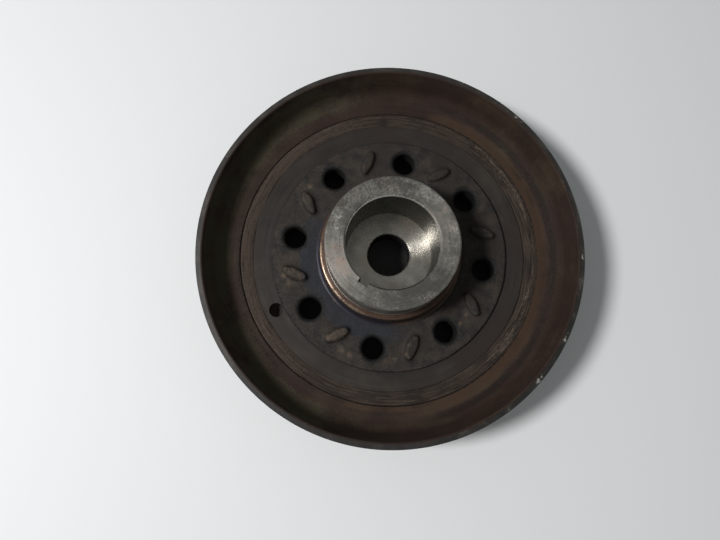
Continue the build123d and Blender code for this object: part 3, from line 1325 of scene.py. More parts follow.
@dataclass
class Hub:
    """The hub casting: nose, shoulder, holed web with slanted ribs, machined band and front."""

    outer_radius: float = 65.9
    front_height: float = 3.5
    back_height: float = 22.2
    plateau_radius: float = 56.8
    plateau_foot_radius: float = 57.01
    plateau_height: float = 23.7
    web_front_height: float = 14.0
    pocket_mouth_radius: float = 58.9
    pocket_corner_radius: float = 57.42
    boss_radius: float = 25.0
    boss_root_radius: float = 25.76
    bolt_seat_height: float = 8.6
    shoulder_radius: float = 33.2
    shoulder_foot_radius: float = 33.87
    shoulder_height: float = 33.3
    nose_radius: float = 30.35
    nose_height: float = 49.4
    nose_chamfer: float = 0.6
    bore_radius: float = 21.05
    bore_floor_height: float = 20.1
    bore_chamfer: float = 0.8
    floor_edge_width: float = 3.0
    bolt_hole_radius: float = 10.3
    bolt_hole_chamfer: float = 0.5
    keyway_width: float = 5.0
    keyway_depth: float = 2.3
    keyway_degrees: float = 234.5
    hole_radius: float = 5.15
    hole_circle_radius: float = 46.3
    hole_start_degrees: float = -9.8
    hole_count: int = 8
    hole_facets: int = 48
    mouth_rounding: float = 1.8
    rib_circle_radius: float = 46.6
    rib_length: float = 15.4
    rib_thickness: float = 5.2
    rib_height: float = 2.2
    rib_slant_degrees: float = 34.0
    rib_end_radius: float = 1.7
    rib_rounding: float = 1.6
    rib_foot: float = 2.2
    rib_foot_height: float = 1.0
    balance_radius: float = 3.4
    balance_depth: float = 5.0
    balance_circle_radius: float = 60.8
    balance_degrees: float = -153.1
    balance_steps: int = 5
    balance_facets: int = 36
    drill_point_degrees: float = 118.0
    balance_inner_radius: float = 57.2
    balance_outer_radius: float = 65.0
    cutter_line_radius: float = 59.7
    cutter_line_depth: float = 0.08
    cutter_line_half_width: float = 0.5
    casting_fillet: float = 3.0
    face_inner_radius: float = 24.6
    patch_inner_radius: float = 36.2
    patch_outer_radius: float = 55.8
    front_inner_radius: float = 29.4
    front_outer_radius: float = 53.8
    # Where painted shade darkens the plate round the holes, how far down it fades, and how much of a
    # rib is paler with dust and painted light, each as the two ends of a ramp.
    mouth_painted_shade_reach: tuple[float, float] = (8.9, 5.7)
    mouth_painted_shade_heights: tuple[float, float] = (25.0, 24.0)
    rib_lump_heights: tuple[float, float] = (23.8, 24.6)
    rib_dust_and_light_heights: tuple[float, float] = (24.1, 25.9)
    crumb_heights: tuple[float, float] = (22.8, 23.2)
    rib_dust_and_light: float = 0.12
    rib_dust_and_light_more: float = 0.3
    rib_dust_and_light_stretch: tuple[float, float, float] = (-130.0, 85.0, 25.0)
    # Lumps of dirt on the plate: x, y and width. Each is whole over a share of its width, and fades
    # some way past it.
    crumb_core: float = 0.4
    crumb_fade: float = 1.4
    crumb_dust: float = 0.7
    crumbs: tuple[tuple[float, float, float], ...] = (
        (-47.5, -14.6, 2.4),
        (-51.2, -11.0, 1.2),
        (-23.7, -45.7, 2.4),
        (-28.9, -40.4, 1.4),
        (-19.0, -48.6, 1.3),
        (8.2, -49.0, 1.7),
        (2.4, -50.6, 1.0),
        (32.5, -34.5, 1.8),
        (36.4, -30.2, 1.0),
        (-38.5, 33.6, 1.2),
    )
    materials: dict[Finish, bpy.types.Material] = field(default_factory=dict)

    def build(self) -> bpy.types.Object:
        """Builds and dresses the hub.

        Returns:
            Its piece.
        """
        self.materials = {
            Finish.CAST: CAST_IRON.build(),
            Finish.TURNED: TURNED_IRON.build(),
            Finish.NOSE: NOSE_IRON.build(),
            Finish.BORE: BORE_IRON.build(),
            Finish.WALL: WALL_IRON.build(),
            Finish.SHOULDER: SHOULDER_IRON.build(),
        }
        start = math.radians(self.hole_start_degrees - 10.0)
        angles = start + turns_round(STEPS_ROUND_HUB)
        draft = Draft()
        self.add_nose(draft, angles)
        self.add_rim(draft, angles)
        self.add_boss(draft, angles)
        self.add_bore(draft, angles)
        repeat = PatternRepeat("web_pattern", self.hole_count, 360 / self.hole_count, 0.0)
        web = repeat.apply(self.web_section(angles), Finish.CAST, self.materials[Finish.CAST])
        draft.add_mesh(web, Finish.CAST)
        piece = draft.finish_object("hub_casting", self.materials)
        self.age(piece)
        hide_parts("hub")
        return piece

    def add_nose(self, draft: Draft, angles: np.ndarray) -> None:
        """Adds the web's inner edge, the shoulder, the nose and its end face.

        Args:
            draft: The hub.
            angles: The angle of each vertex round the axis, in radians.
        """
        corners = [
            Corner(self.patch_inner_radius, self.plateau_height, 0.0, Finish.CAST),
            Corner(self.shoulder_foot_radius, self.plateau_height, 1.5, Finish.SHOULDER),
            Corner(self.shoulder_radius, self.shoulder_height, 0.8, Finish.SHOULDER),
            Corner(self.nose_radius, self.shoulder_height, 0.3, Finish.NOSE),
            Corner(self.nose_radius, self.nose_height - self.nose_chamfer, 0.15, Finish.NOSE),
            Corner(self.nose_radius - self.nose_chamfer, self.nose_height, 0.15, Finish.NOSE),
            Corner(self.face_inner_radius, self.nose_height, 0.0, Finish.NOSE),
        ]
        draft.revolve(trace(corners, SEEN), angles, closed=False)

    def add_rim(self, draft: Draft, angles: np.ndarray) -> None:
        """Adds the front pocket's wall, the hub's rim, the machined band and the web's outer edge.

        Args:
            draft: The hub.
            angles: The angle of each vertex round the axis, in radians.
        """
        back, line = self.back_height, self.cutter_line_radius
        seam = Corner(self.outer_radius, (self.front_height + back) / 2, 0.0, Finish.TURNED)
        front = [
            Corner(self.front_outer_radius, self.web_front_height, 0.0, Finish.CAST),
            Corner(self.pocket_corner_radius, self.web_front_height, self.casting_fillet, Finish.CAST),
            Corner(self.pocket_mouth_radius, self.front_height, 0.5, Finish.TURNED),
            Corner(self.outer_radius, self.front_height, 0.5, Finish.TURNED),
            seam,
        ]
        draft.revolve(trace(front, HIDDEN), angles, closed=False)
        corners = [
            seam,
            Corner(self.outer_radius, back, 0.4, Finish.TURNED),
            Corner(self.balance_outer_radius, back, 0.0, Finish.TURNED),
            Corner(self.balance_inner_radius, back, 0.0, Finish.TURNED),
            Corner(self.plateau_foot_radius, back, 0.1, Finish.CAST),
            Corner(self.plateau_radius, self.plateau_height, 0.6, Finish.CAST),
            Corner(self.patch_outer_radius, self.plateau_height, 0.0, Finish.CAST),
        ]
        outline = trace(corners, SEEN)
        flat = [
            k
            for k, (r, z) in enumerate(outline.points)
            if z == back and self.balance_inner_radius <= r <= self.balance_outer_radius
        ]
        step = 2 * math.pi / len(angles)
        middle = round((math.radians(self.balance_degrees) - angles[0]) / step) % len(angles)
        bands = range(flat[0], flat[-1])
        steps = range(middle - self.balance_steps, middle + self.balance_steps)
        for k in flat[1:-1]:
            r = outline.points[k][0]
            if abs(r - line) < self.cutter_line_half_width:
                outline.points[k] = (r, back - self.cutter_line_depth)
        rings = draft.revolve(outline, angles, closed=False, gap=(bands, steps))
        self.add_balance_hole(draft, [rings[k] for k in flat], steps)

    def add_balance_hole(self, draft: Draft, rings: list[list[int]], steps: range) -> None:
        """Fills the gap in the machined band with the drilled balance hole.

        Args:
            draft: The hub.
            rings: The rings of the machined band that the gap crosses, from the outside inwards.
            steps: The gap's steps round the axis.
        """
        first, last = steps[0], steps[-1] + 1
        border = [rings[0][i] for i in range(first, last + 1)]
        border += [ring[last] for ring in rings[1:-1]]
        border += [rings[-1][i] for i in range(last, first - 1, -1)]
        border += [ring[first] for ring in rings[-2:0:-1]]
        centre = spot_at(self.balance_circle_radius, math.radians(self.balance_degrees))
        ring_shape = round_shape(self.balance_facets)
        face = FlatFace([draft.points[v][:2] for v in border])
        face.heights = [draft.points[v][2] - self.back_height for v in border]
        face.add_ring(centre + ring_shape * self.balance_radius, 0.0)
        numbers = face.fill(draft, self.back_height, Finish.TURNED, (centre, self.balance_radius), True)
        edge = [numbers[v] for v in face.rings[0]]
        depths = [(self.balance_radius, d) for d in (0.4, 1.6, 2.8, 4.0, self.balance_depth)]
        tip = self.balance_radius / math.tan(math.radians(self.drill_point_degrees / 2))
        depths += [(self.balance_radius * s, self.balance_depth + tip * (1 - s)) for s in (0.6, 0.2, 0.02)]
        for r, depth in depths:
            ring = centre + ring_shape * r
            height = np.full(len(ring), self.back_height - depth)
            deeper = draft.add_points(np.column_stack((ring, height)))
            draft.join(edge, deeper, Finish.CAST)
            edge = deeper
        draft.faces.append(tuple(edge))
        draft.finishes.append(Finish.CAST)

    def add_boss(self, draft: Draft, angles: np.ndarray) -> None:
        """Adds the bore's floor, the bolt hole, the bolt's seat and the boss round it.

        Args:
            draft: The hub.
            angles: The angle of each vertex round the axis, in radians.
        """
        floor, seat = self.bore_floor_height, self.bolt_seat_height
        hole, chamfer = self.bolt_hole_radius, self.bolt_hole_chamfer
        seam = Corner(hole, (floor + seat) / 2, 0.0, Finish.TURNED)
        rear = [
            Corner(self.bore_radius - self.floor_edge_width, floor, 0.0, Finish.BORE),
            Corner(hole + chamfer, floor, 0.1, Finish.BORE),
            Corner(hole, floor - chamfer, 0.1, Finish.TURNED),
            seam,
        ]
        draft.revolve(trace(rear, SEEN), angles, closed=False)
        front = [
            seam,
            Corner(hole, seat + chamfer, 0.1, Finish.TURNED),
            Corner(hole + chamfer, seat, 0.1, Finish.TURNED),
            Corner(self.boss_radius, seat, 0.5, Finish.CAST),
            Corner(self.boss_root_radius, self.web_front_height, self.casting_fillet, Finish.CAST),
            Corner(self.front_inner_radius, self.web_front_height, 0.0, Finish.CAST),
        ]
        draft.revolve(trace(front, HIDDEN), angles, closed=False)

    def bore_outline(self, radius: float, angles: np.ndarray) -> np.ndarray:
        """The bore's outline with its keyway.

        Args:
            radius: The outline's radius off the keyway.
            angles: The angle of each vertex round the axis, in radians.

        Returns:
            One row of x and y for each vertex.
        """
        outline = np.column_stack((radius * np.cos(angles), radius * np.sin(angles)))
        direction = math.radians(self.keyway_degrees)
        away = (angles - direction + math.pi) % (2 * math.pi) - math.pi
        half_width = self.keyway_width / 2
        inside = np.nonzero(np.abs(away) < math.asin(half_width / radius) + 0.004)[0]
        inside = inside[np.argsort(away[inside])]
        mouth = math.sqrt(radius * radius - half_width * half_width)
        bottom = self.bore_radius + self.keyway_depth
        corners = [(mouth, -half_width), (bottom, -half_width), (bottom, half_width), (mouth, half_width)]
        side_steps = 3
        runs = (side_steps, len(inside) - 1 - 2 * side_steps, side_steps)
        path = [corners[0]]
        for start, end, steps in zip(corners, corners[1:], runs):
            for share in np.linspace(0, 1, steps + 1)[1:]:
                path.append(tuple(a + (b - a) * share for a, b in zip(start, end)))
        out, across = np.array(path).T
        outline[inside, 0] = out * math.cos(direction) - across * math.sin(direction)
        outline[inside, 1] = out * math.sin(direction) + across * math.cos(direction)
        return outline

    def add_bore(self, draft: Draft, angles: np.ndarray) -> None:
        """Adds the bore's chamfer, its wall with the keyway, and the edge of its floor.

        Args:
            draft: The hub.
            angles: The angle of each vertex round the axis, in radians.
        """
        top, floor = self.nose_height, self.bore_floor_height
        below = top - self.bore_chamfer
        stations = [(self.bore_radius + self.bore_chamfer, top)]
        stations += [(self.bore_radius, h) for h in (below, below - 0.2)]
        stations += [(self.bore_radius, h) for h in np.linspace(below - 1.4, floor + 0.6, 16)]
        stations += [(self.bore_radius, floor + 0.2), (self.bore_radius, floor)]
        rings = [draft.add_points(circle(self.face_inner_radius, top, angles))]
        for r, height in stations:
            spots = np.column_stack((self.bore_outline(r, angles), np.full(len(angles), height)))
            rings.append(draft.add_points(spots))
        for inset in (0.3, 1.2, 2.1, self.floor_edge_width):
            rings.append(draft.add_points(circle(self.bore_radius - inset, floor, angles)))
        draft.join(rings[0], rings[1], Finish.NOSE)
        draft.join(rings[1], rings[2], Finish.NOSE)
        for k in range(2, len(rings) - 1):
            draft.join(rings[k], rings[k + 1], Finish.WALL if k < len(stations) else Finish.BORE)

    def rib_ring(self, offset: float) -> np.ndarray:
        """The leaf outline of a rib, moved outwards by the offset, along x and round its middle.

        Args:
            offset: How far the outline lies outside the rib's foot, negative for inside.

        Returns:
            One row of x and y for each vertex, anticlockwise.
        """
        half, rise = self.rib_length / 2, self.rib_thickness / 2
        side_radius = (half * half + rise * rise) / (2 * rise)
        drop = side_radius - rise
        reach = math.sqrt((side_radius - self.rib_end_radius) ** 2 - drop * drop)
        lean = math.atan2(reach, drop)
        side = [((0.0, -drop), side_radius + offset, a) for a in np.linspace(lean, -lean, 13)[:-1]]
        tip = [
            ((-reach, 0.0), self.rib_end_radius + offset, a)
            for a in np.linspace(-lean, lean - math.pi, 7)[:-1]
        ]
        half_ring = np.array(
            [(x + r * math.sin(a), y + r * math.cos(a)) for (x, y), r, a in side + tip]
        )
        return np.concatenate((half_ring, -half_ring))

    def web_section(self, angles: np.ndarray) -> Draft:
        """One eighth of the web, with a through hole and a slanted rib.

        Args:
            angles: The angle of each vertex of the hub's rings, in radians.

        Returns:
            The section, both faces and the hole's wall.
        """
        section = Draft()
        edge = angles[: STEPS_ROUND_HUB // self.hole_count + 1]
        hole_angle = math.radians(self.hole_start_degrees)
        hole = spot_at(self.hole_circle_radius, hole_angle)
        shape = round_shape(self.hole_facets)
        top = FlatFace(self.web_border(edge, self.patch_inner_radius, self.patch_outer_radius))
        for tilt in np.linspace(0, math.pi / 2, 8):
            out = self.hole_radius + self.mouth_rounding * (1 - math.cos(tilt))
            top.add_ring(hole + shape * out, -self.mouth_rounding * (1 - math.sin(tilt)))
        top.add_ring(hole + shape * (self.hole_radius + self.mouth_rounding + 0.5), 0.0)
        rib_angle = hole_angle + math.pi / self.hole_count
        rib = spot_at(self.rib_circle_radius, rib_angle)
        slant = rib_angle - math.radians(self.rib_slant_degrees)
        along = np.array(((math.cos(slant), math.sin(slant)), (-math.sin(slant), math.cos(slant))))
        for offset, height in self.rib_profile():
            top.add_ring(rib + self.rib_ring(offset) @ along, height)
        wall_edge = (hole, self.hole_radius)
        top_numbers = top.fill(section, self.plateau_height, Finish.CAST, wall_edge, True)
        front = FlatFace(self.web_border(edge, self.front_inner_radius, self.front_outer_radius))
        for out, height in ((0.0, 0.5), (0.5, 0.0), (1.0, 0.0)):
            front.add_ring(hole + shape * (self.hole_radius + out), height)
        front_numbers = front.fill(section, self.web_front_height, Finish.CAST, wall_edge, False, 2.4)
        wall = [[front_numbers[v] for v in front.rings[0]]]
        low, high = self.web_front_height + 0.8, self.plateau_height - self.mouth_rounding - 0.3
        for height in np.linspace(low, high, 6):
            spots = np.column_stack((hole + shape * self.hole_radius, np.full(len(shape), height)))
            wall.append(section.add_points(spots))
        wall.append([top_numbers[v] for v in top.rings[0]])
        for k in range(len(wall) - 1):
            section.join(wall[k][::-1], wall[k + 1][::-1], Finish.CAST)
        return section

    def rib_profile(self) -> list[tuple[float, float]]:
        """Works out a rib's section, from the fillet at its foot to its top.

        Returns:
            The offset and the height of each ring.
        """
        foot, step = self.rib_foot, self.rib_foot_height
        tilts = np.linspace(0, math.pi / 2, 6)
        low = [(foot * (1.05 - math.sin(t)), step * (1 - math.cos(t))) for t in tilts]
        crown = self.rib_height - step
        high = [
            (-self.rib_rounding * (1 - math.cos(t)), step + 0.02 + crown * math.sin(t)) for t in tilts
        ]
        return low + high

    def web_border(self, edge: np.ndarray, inner: float, outer: float) -> list[tuple[float, float]]:
        """The border of one face of the web's section, with even steps along its sides.

        Args:
            edge: The angles of the rings' vertices across the section.
            inner: The face's inner radius.
            outer: The face's outer radius.

        Returns:
            The border's places, anticlockwise.
        """
        radii = np.linspace(inner, outer, round(outer - inner) + 1)[1:-1]
        spots = [(inner, a) for a in edge[::-1]] + [(r, edge[0]) for r in radii]
        spots += [(outer, a) for a in edge] + [(r, edge[-1]) for r in radii[::-1]]
        return [(r * math.cos(a), r * math.sin(a)) for r, a in spots]

    def age(self, piece: bpy.types.Object) -> None:
        """Gives the casting its waves, its wear, and painted light and shade.

        Args:
            piece: The hub's piece.
        """
        cast = finish_weights(piece, {list(self.materials).index(Finish.CAST)})
        r, _, z = polar(mesh_places(piece))
        plate = cast * RIBBED_PLATE.weights(r, z)
        roughen(piece, cast, SAND_WAVES)
        roughen(piece, plate, PLATE_WAVES)
        roughen(piece, plate * ramp(z, *self.rib_lump_heights), RIB_LUMPS)
        places = mesh_places(piece)
        crumbed = np.zeros(len(places))
        for x, y, width in self.crumbs:
            away = np.hypot(places[:, 0] - x, places[:, 1] - y)
            lump = ramp(away, width + self.crumb_fade, width * self.crumb_core)
            crumbed = np.maximum(crumbed, lump)
        roughen(piece, crumbed * cast * ramp(z, *self.crumb_heights), DIRT_LUMPS)
        places = mesh_places(piece)
        wear = WearMap(places, HUB_MARKS)
        z = wear.height
        # Painted shade in each of the web's holes and on the plate round its mouth.
        low = ramp(z, *self.mouth_painted_shade_heights)
        for k in range(self.hole_count):
            angle = math.radians(self.hole_start_degrees + 360.0 / self.hole_count * k)
            away = np.hypot(*(places[:, :2] - spot_at(self.hole_circle_radius, angle)).T)
            wear.lay(Wear.GRIME_AND_SHADE, ramp(away, *self.mouth_painted_shade_reach) * low)
        # The ribs' tops get dust and painted light, more on the ribs from about 145° to 315°.
        dusty = self.rib_dust_and_light + self.rib_dust_and_light_more * arc(wear.degrees, *self.rib_dust_and_light_stretch)
        wear.lay(Wear.DUST_AND_LIGHT, dusty * plate * ramp(z, *self.rib_dust_and_light_heights), adds=True)
        wear.lay(Wear.DUST_AND_LIGHT, self.crumb_dust * crumbed * band(z, *ENGINE_SIDE))
        # Painted light and shade in the balance hole: its side in the key light's shadow is made paler, its
        # lit side darker.
        centre = spot_at(self.balance_circle_radius, math.radians(self.balance_degrees))
        across, along = (places[:, :2] - centre).T
        drilled = np.hypot(across, along) < self.balance_radius + 0.05
        drilled = drilled * ramp(z, self.back_height - 0.05, self.back_height - 1.0)
        wear.lay(Wear.DUST_AND_LIGHT, 0.8 * drilled * ramp(across, 2.6, -1.0))
        wear.lay(Wear.GRIME_AND_SHADE, 0.5 * drilled * ramp(across, 0.4, 1.8))
        wear.write(piece)


RUBBER_FACE = Zone((67.0, 80.0, 0.9), (0.0, TOP, 1.0))
RUBBER_REAR = (21.0, TOP, 1.0)
DUST_BED = Zone((66.4, 71.7, 0.4), (21.6, TOP, 0.6))

RUBBER_MARKS = (
    Mark(Wear.DUST_AND_LIGHT, 0.25, RUBBER_FACE),
    # The rubber's face is paler from about 115° to 215° round the axis.
    Mark(Wear.DUST_AND_LIGHT, 0.5, RUBBER_FACE, (165, 50, 30), adds=True),
    Mark(Wear.BARE_AND_HIGHLIGHT, 0.2, Zone((70.4, 71.8, 0.6), RUBBER_REAR), (90, 62, 20)),
    Mark(Wear.BARE_AND_HIGHLIGHT, 0.3, Zone((68.5, 71.5, 0.8), RUBBER_REAR), (5, 40, 20), adds=True),
    Mark(Wear.BARE_AND_HIGHLIGHT, 0.2, Zone((68.5, 71.4, 0.5), RUBBER_REAR), (-100, 60, 30), adds=True),
)


@dataclass
class DampingRubber:
    """The rubber ring that is bonded between the hub and the pulley ring."""

    inner_radius: float = 65.9
    outer_radius: float = 72.2
    front_height: float = 4.4
    back_height: float = 21.6
    crown: float = 0.5
    ripple_depth: float = 0.04

    def build(self) -> bpy.types.Object:
        """Builds and dresses the rubber.

        Returns:
            Its piece.
        """
        material = DustyRubber().build()
        angles = turns_round(STEPS_ROUND_HUB)
        shares = np.linspace(0.0, 1.0, 33)
        swell = 4 * shares * (1 - shares) * self.crown
        width = self.outer_radius - self.inner_radius
        points = [(self.inner_radius + width * s, self.front_height - c) for s, c in zip(shares, swell)]
        heights = np.linspace(self.front_height, self.back_height, 8)[1:-1]
        points += [(self.outer_radius, float(height)) for height in heights]
        ripple = self.ripple_depth * np.array([0, *([1, -1] * 15), 1, 0])
        rear = zip(shares, swell - np.abs(ripple) + ripple)
        points += [(self.outer_radius - width * s, self.back_height + c) for s, c in rear]
        points += [(self.inner_radius, float(height)) for height in heights[::-1]]
        draft = Draft()
        draft.revolve(Outline(points, [Finish.RUBBER] * len(points)), angles, closed=True)
        piece = draft.finish_object("bonded_rubber_ring", {Finish.RUBBER: material})
        wear = WearMap(mesh_places(piece), RUBBER_MARKS)
        roughen(piece, DUST_BED.weights(wear.radius, wear.height), DUST_LUMPS)
        wear.write(piece)
        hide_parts("damping_rubber")
        return piece


RIGHT = (0, 65, 25)
LEFT = (180, 55, 40)

RING_MARKS = (
    Mark(Wear.RUST, 0.95, Zone((72.4, 77.0, 2.4), TROUGH_SIDE), RIGHT),
    Mark(Wear.RUST, 0.75, Zone((72.4, 75.0, 1.0), TROUGH_SIDE), (-95, 10, 6), adds=True),
    Mark(Wear.RUST, 0.3, Zone((83.0, 87.5, 1.5), (27.0, TOP, 3.0)), RIGHT, adds=True),
    # Oil and painted shade darken the bottom of the trough on the right.
    Mark(Wear.OIL, 0.8, Zone((78.8, 81.2, 1.6), TROUGH_SIDE), RIGHT),
    Mark(Wear.GRIME_AND_SHADE, 0.8, Zone((0.0, 72.5, 0.7), TROUGH_SIDE)),
    Mark(Wear.GRIME_AND_SHADE, 0.35, Zone((73.0, 76.0, 1.5), TROUGH_SIDE), (180, 40, 30)),
    Mark(Wear.GRIME_AND_SHADE, 0.5, Zone((87.3, 90.0, 0.5), RIM_EDGE), (-65, 60, 25)),
    Mark(Wear.BARE_AND_HIGHLIGHT, 0.15, Zone((87.3, 90.0, 0.4), RIM_EDGE), (-5, 60, 20)),
    Mark(Wear.DUST_AND_LIGHT, 0.25, Zone((0.0, 86.0, 0.9), TROUGH_SIDE)),
    # Painted light: the trough's left wall, in the rim's shadow, is made paler with the dust colour.
    Mark(Wear.DUST_AND_LIGHT, 0.6, Zone((79.5, 85.0, 3.0), TROUGH_SIDE), LEFT, adds=True),
)


@dataclass
class PulleyRing:
    """The inertia ring: belt grooves outside, and a rim over a curved trough behind."""

    bore_radius: float = 72.2
    flange_radius: float = 89.4
    flange_width: float = 3.0
    flange_chamfer: float = 0.8
    belt_radius: float = 88.0
    belt_start: float = 3.65
    groove_count: int = 6
    groove_pitch: float = 3.56
    groove_depth: float = 2.9
    groove_root_half: float = 0.45
    groove_side_run: float = 1.0555
    rim_radius: float = 90.0
    rim_start: float = 25.94
    rim_height: float = 37.0
    crest_radius: float = 86.8
    crest_height: float = 38.1
    trough_reach: float = 82.24
    trough_floor: float = 22.2
    trough_rounding: float = 8.5
    edge_chamfer: float = 0.5
    nick_circle_radius: float = 88.6
    nick_height: float = 37.6
    nick_reach: float = 2.0
    nick_depth: float = 0.2
    nick_brightness: float = 0.75
    # Nicks in the rim's bevel: the angle in degrees and the width.
    nicks: tuple[tuple[float, float], ...] = (
        (-43.0, 1.7),
        (-41.2, 1.1),
        (-28.3, 1.5),
        (-26.0, 1.1),
        (-2.6, 1.3),
        (44.0, 1.2),
        (46.5, 1.6),
        (151.0, 1.0),
    )

    def build(self) -> bpy.types.Object:
        """Builds and dresses the ring.

        Returns:
            Its piece.
        """
        materials = {
            Finish.TURNED: TURNED_IRON.build(),
            Finish.TROUGH: TROUGH_IRON.build(),
            Finish.RIM: RIM_IRON.build(),
            Finish.BELT: BELT_IRON.build(),
        }
        angles = turns_round(STEPS_ROUND_DAMPER)
        belt_end = self.belt_start + self.groove_count * self.groove_pitch
        edge = self.edge_chamfer
        seam = Corner(self.bore_radius, self.trough_floor / 2, 0.0, Finish.TURNED)
        rear = [
            Corner(self.belt_radius, belt_end, 0.0, Finish.RIM),
            Corner(self.rim_radius, self.rim_start, 0.3, Finish.RIM),
            Corner(self.rim_radius, self.rim_height, 0.5, Finish.RIM),
            Corner(self.crest_radius, self.crest_height, 0.7, Finish.TROUGH),
            Corner(self.trough_reach, self.trough_floor, self.trough_rounding, Finish.TROUGH),
            Corner(self.bore_radius + edge, self.trough_floor, 0.1, Finish.TROUGH),
            Corner(self.bore_radius, self.trough_floor - edge, 0.1, Finish.TURNED),
            seam,
        ]
        front = [
            seam,
            Corner(self.bore_radius, edge, 0.1, Finish.TURNED),
            Corner(self.bore_radius + edge, 0.0, 0.1, Finish.TURNED),
            Corner(self.flange_radius - self.flange_chamfer, 0.0, 0.2, Finish.TURNED),
            Corner(self.flange_radius, self.flange_chamfer, 0.2, Finish.RIM),
            Corner(self.flange_radius, self.flange_width, 0.2, Finish.BELT),
            Corner(self.belt_radius, self.belt_start, 0.0, Finish.BELT),
        ]
        draft = Draft()
        draft.revolve(trace(rear, SEEN), angles, closed=False)
        draft.revolve(trace(front, HIDDEN), angles, closed=False)
        repeat = PatternRepeat("belt_grooves", self.groove_count, 0.0, self.groove_pitch)
        grooves = repeat.apply(self.groove_section(angles), Finish.BELT, materials[Finish.BELT])
        draft.add_mesh(grooves, Finish.BELT)
        piece = draft.finish_object("grooved_damper_ring", materials)
        self.age(piece)
        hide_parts("pulley_ring")
        return piece

    def groove_section(self, angles: np.ndarray) -> Draft:
        """One groove of the belt band, all the way round.

        Args:
            angles: The angle of each vertex round the axis, in radians.

        Returns:
            The groove, in its place nearest to the front.
        """
        middle = self.belt_start + self.groove_pitch / 2
        root = self.belt_radius - self.groove_depth
        mouth = self.groove_root_half + self.groove_side_run
        corners = [
            Corner(self.belt_radius, self.belt_start, 0.0, Finish.BELT),
            Corner(self.belt_radius, middle - mouth, 0.15, Finish.BELT),
            Corner(root, middle - self.groove_root_half, 0.2, Finish.BELT),
            Corner(root, middle + self.groove_root_half, 0.2, Finish.BELT),
            Corner(self.belt_radius, middle + mouth, 0.15, Finish.BELT),
            Corner(self.belt_radius, self.belt_start + self.groove_pitch, 0.0, Finish.BELT),
        ]
        section = Draft()
        section.revolve(trace(corners, HIDDEN), angles, closed=False)
        return section

    def age(self, piece: bpy.types.Object) -> None:
        """Gives the ring its nicks, its rust, its oily dirt, its rubbed edges, and painted light and shade
        in its trough.

        Args:
            piece: The ring's piece.
        """
        places = mesh_places(piece)
        nicked = np.zeros(len(places))
        for turn, width in self.nicks:
            spot = spot_at(self.nick_circle_radius, math.radians(turn))
            away = np.hypot(*(places[:, :2] - spot).T) / width
            upper = ramp(places[:, 2], self.nick_height - self.nick_reach, self.nick_height)
            near = ramp(away, 1.0, 0.2) * upper
            places[:, 2] -= self.nick_depth * near
            nicked = np.maximum(nicked, self.nick_brightness * near)
        move_vertices(piece, places)
        wear = WearMap(places, RING_MARKS)
        wear.lay(Wear.BARE_AND_HIGHLIGHT, nicked)
        wear.write(piece)


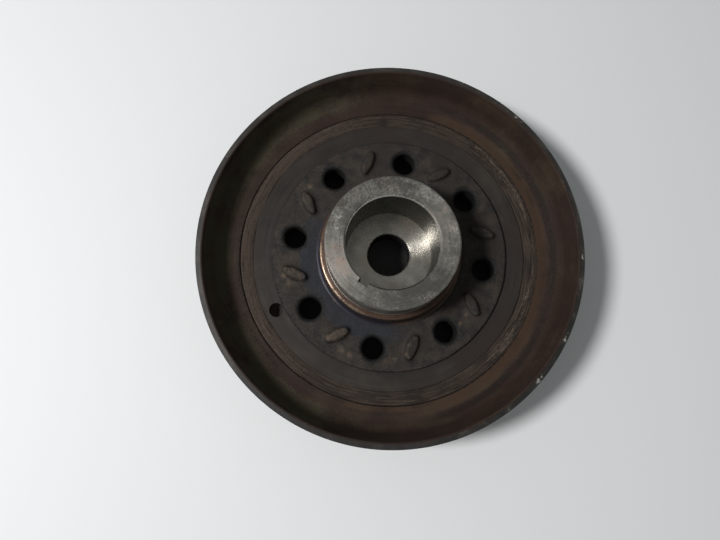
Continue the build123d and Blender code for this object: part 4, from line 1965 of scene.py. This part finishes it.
@dataclass
class Studio:
    """A pale floor with a painted shade under the pulley, a soft key light from the left, a soft sky and
    the camera.
    """

    floor_colour: str = "d4d5d6"
    painted_floor_shade: str = "484846"
    painted_floor_shade_mm: tuple[float, float] = (60.0, 80.0)
    floor_metres: float = 6.0
    floor_drop_metres: float = 0.0001
    key_watts: float = 12.0
    key_metres: float = 0.21
    key_azimuth: float = 185.0
    key_elevation: float = 55.0
    key_distance: float = 1.1
    sky_colour: str = "f2f8f6"
    sky_strength: float = 0.25
    horizon_strength: float = 0.8
    horizon_fade_metres: tuple[float, float] = (0.28, 0.75)
    horizon_band: tuple[float, float] = (0.0, 0.4)
    camera_place: tuple[float, float, float] = (-18.05, -52.82, 285.34)
    camera_right: tuple[float, float, float] = (0.99989, 0.0, 0.01497)
    camera_up: tuple[float, float, float] = (-0.00251, 0.98581, 0.16783)
    camera_back: tuple[float, float, float] = (-0.01476, -0.16785, 0.98570)
    lens: float = 27.5
    sensor_width: float = 36.0
    clip_start: float = 0.01

    def build(self) -> None:
        """Builds the floor, the light and the camera."""
        self.add_floor()
        self.add_key()
        self.add_sky()
        self.add_camera()

    def add_floor(self) -> None:
        """Adds the pale floor just under the pulley, with a painted shade right under it."""
        half = self.floor_metres / 2
        mesh = bpy.data.meshes.new("floor")
        corners = [(-half, -half), (half, -half), (half, half), (-half, half)]
        drop = self.floor_drop_metres
        mesh.from_pydata([(x, y, -drop) for x, y in corners], [], [(0, 1, 2, 3)])
        floor = bpy.data.objects.new("floor", mesh)
        bpy.context.scene.collection.objects.link(floor)
        material = bpy.data.materials.new("pale_studio_floor")
        material.use_nodes = True
        tree = material.node_tree
        tree.nodes.clear()
        # Right under the part the floor is painted darker, a painted shade. Only the holes look onto
        # it there, and it keeps them dark inside.
        place = add_node(tree, "ShaderNodeTexCoord").outputs["Object"]
        away = add_node(tree, "ShaderNodeVectorMath", {0: place}, operation="LENGTH").outputs["Value"]
        near, far = (share * MM for share in self.painted_floor_shade_mm)
        open_floor = stretched(tree, away, near, far)
        colour = mixed(tree, open_floor, linear(self.painted_floor_shade), linear(self.floor_colour))
        plain = add_node(tree, "ShaderNodeBsdfPrincipled", {"Base Color": colour, "Roughness": 0.7})
        # Far from the part the floor shows the colour of the horizon, so that the two run together.
        glow = add_node(
            tree,
            "ShaderNodeEmission",
            {"Color": linear(self.sky_colour), "Strength": self.horizon_strength},
        )
        ray = add_node(tree, "ShaderNodeLightPath").outputs
        seen = add_node(
            tree, "ShaderNodeMath", {0: ray["Is Camera Ray"], 1: ray["Is Glossy Ray"]}, operation="MAXIMUM"
        )
        distant = stretched(tree, away, *self.horizon_fade_metres)
        share = add_node(tree, "ShaderNodeMath", {0: seen.outputs[0], 1: distant}, operation="MULTIPLY")
        shader = add_node(
            tree, "ShaderNodeMixShader", {0: share.outputs[0], 1: plain.outputs[0], 2: glow.outputs[0]}
        )
        add_node(tree, "ShaderNodeOutputMaterial", {"Surface": shader.outputs[0]})
        mesh.materials.append(material)

    def add_key(self) -> None:
        """Adds the soft light that comes from the left."""
        lamp = bpy.data.lights.new("key", "AREA")
        lamp.shape = "DISK"
        lamp.size = self.key_metres
        lamp.energy = self.key_watts
        key = bpy.data.objects.new("key", lamp)
        bpy.context.scene.collection.objects.link(key)
        azimuth, elevation = math.radians(self.key_azimuth), math.radians(self.key_elevation)
        direction = Vector(
            (
                math.cos(azimuth) * math.cos(elevation),
                math.sin(azimuth) * math.cos(elevation),
                math.sin(elevation),
            )
        )
        key.location = direction * self.key_distance
        key.rotation_euler = direction.to_track_quat("Z", "Y").to_euler()

    def add_sky(self) -> None:
        """Adds the sky, which is pale along the horizon and dims evenly above it."""
        world = bpy.data.worlds.new("sky")
        bpy.context.scene.world = world
        world.use_nodes = True
        tree = world.node_tree
        tree.nodes.clear()
        direction = add_node(tree, "ShaderNodeTexCoord").outputs["Object"]
        height = add_node(tree, "ShaderNodeSeparateXYZ", {0: direction}).outputs["Z"]
        low, high = self.horizon_band
        strength = add_node(
            tree,
            "ShaderNodeMapRange",
            {0: height, 1: low, 2: high, 3: self.horizon_strength, 4: self.sky_strength},
            interpolation_type="SMOOTHSTEP",
        )
        light = add_node(
            tree,
            "ShaderNodeBackground",
            {"Color": linear(self.sky_colour), "Strength": strength.outputs[0]},
        )
        add_node(tree, "ShaderNodeOutputWorld", {"Surface": light.outputs[0]})

    def add_camera(self) -> None:
        """Adds the camera, which looks down on the engine side."""
        lens = bpy.data.cameras.new("camera")
        lens.lens = self.lens
        lens.sensor_width = self.sensor_width
        lens.clip_start = self.clip_start
        camera = bpy.data.objects.new("camera", lens)
        bpy.context.scene.collection.objects.link(camera)
        axes = Matrix((self.camera_right, self.camera_up, self.camera_back)).transposed()
        camera.matrix_world = Matrix.Translation(Vector(self.camera_place) * MM) @ axes.to_4x4()
        bpy.context.scene.camera = camera


def main() -> None:
    """Builds every piece around the frame, then the studio."""
    bpy.context.scene.view_settings.view_transform = "Standard"
    # Without a seed of its own the noise of the waves would differ from run to run.
    noise.seed_set(WAVE_SEED)
    for maker in (Hub(), DampingRubber(), PulleyRing()):
        piece = maker.build()
        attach(piece, "root")
        triangles = sum(len(polygon.vertices) - 2 for polygon in piece.data.polygons)
        log.info("%s: %d triangles", piece.name, triangles)
    Studio().build()


if __name__ == "__main__":
    main()
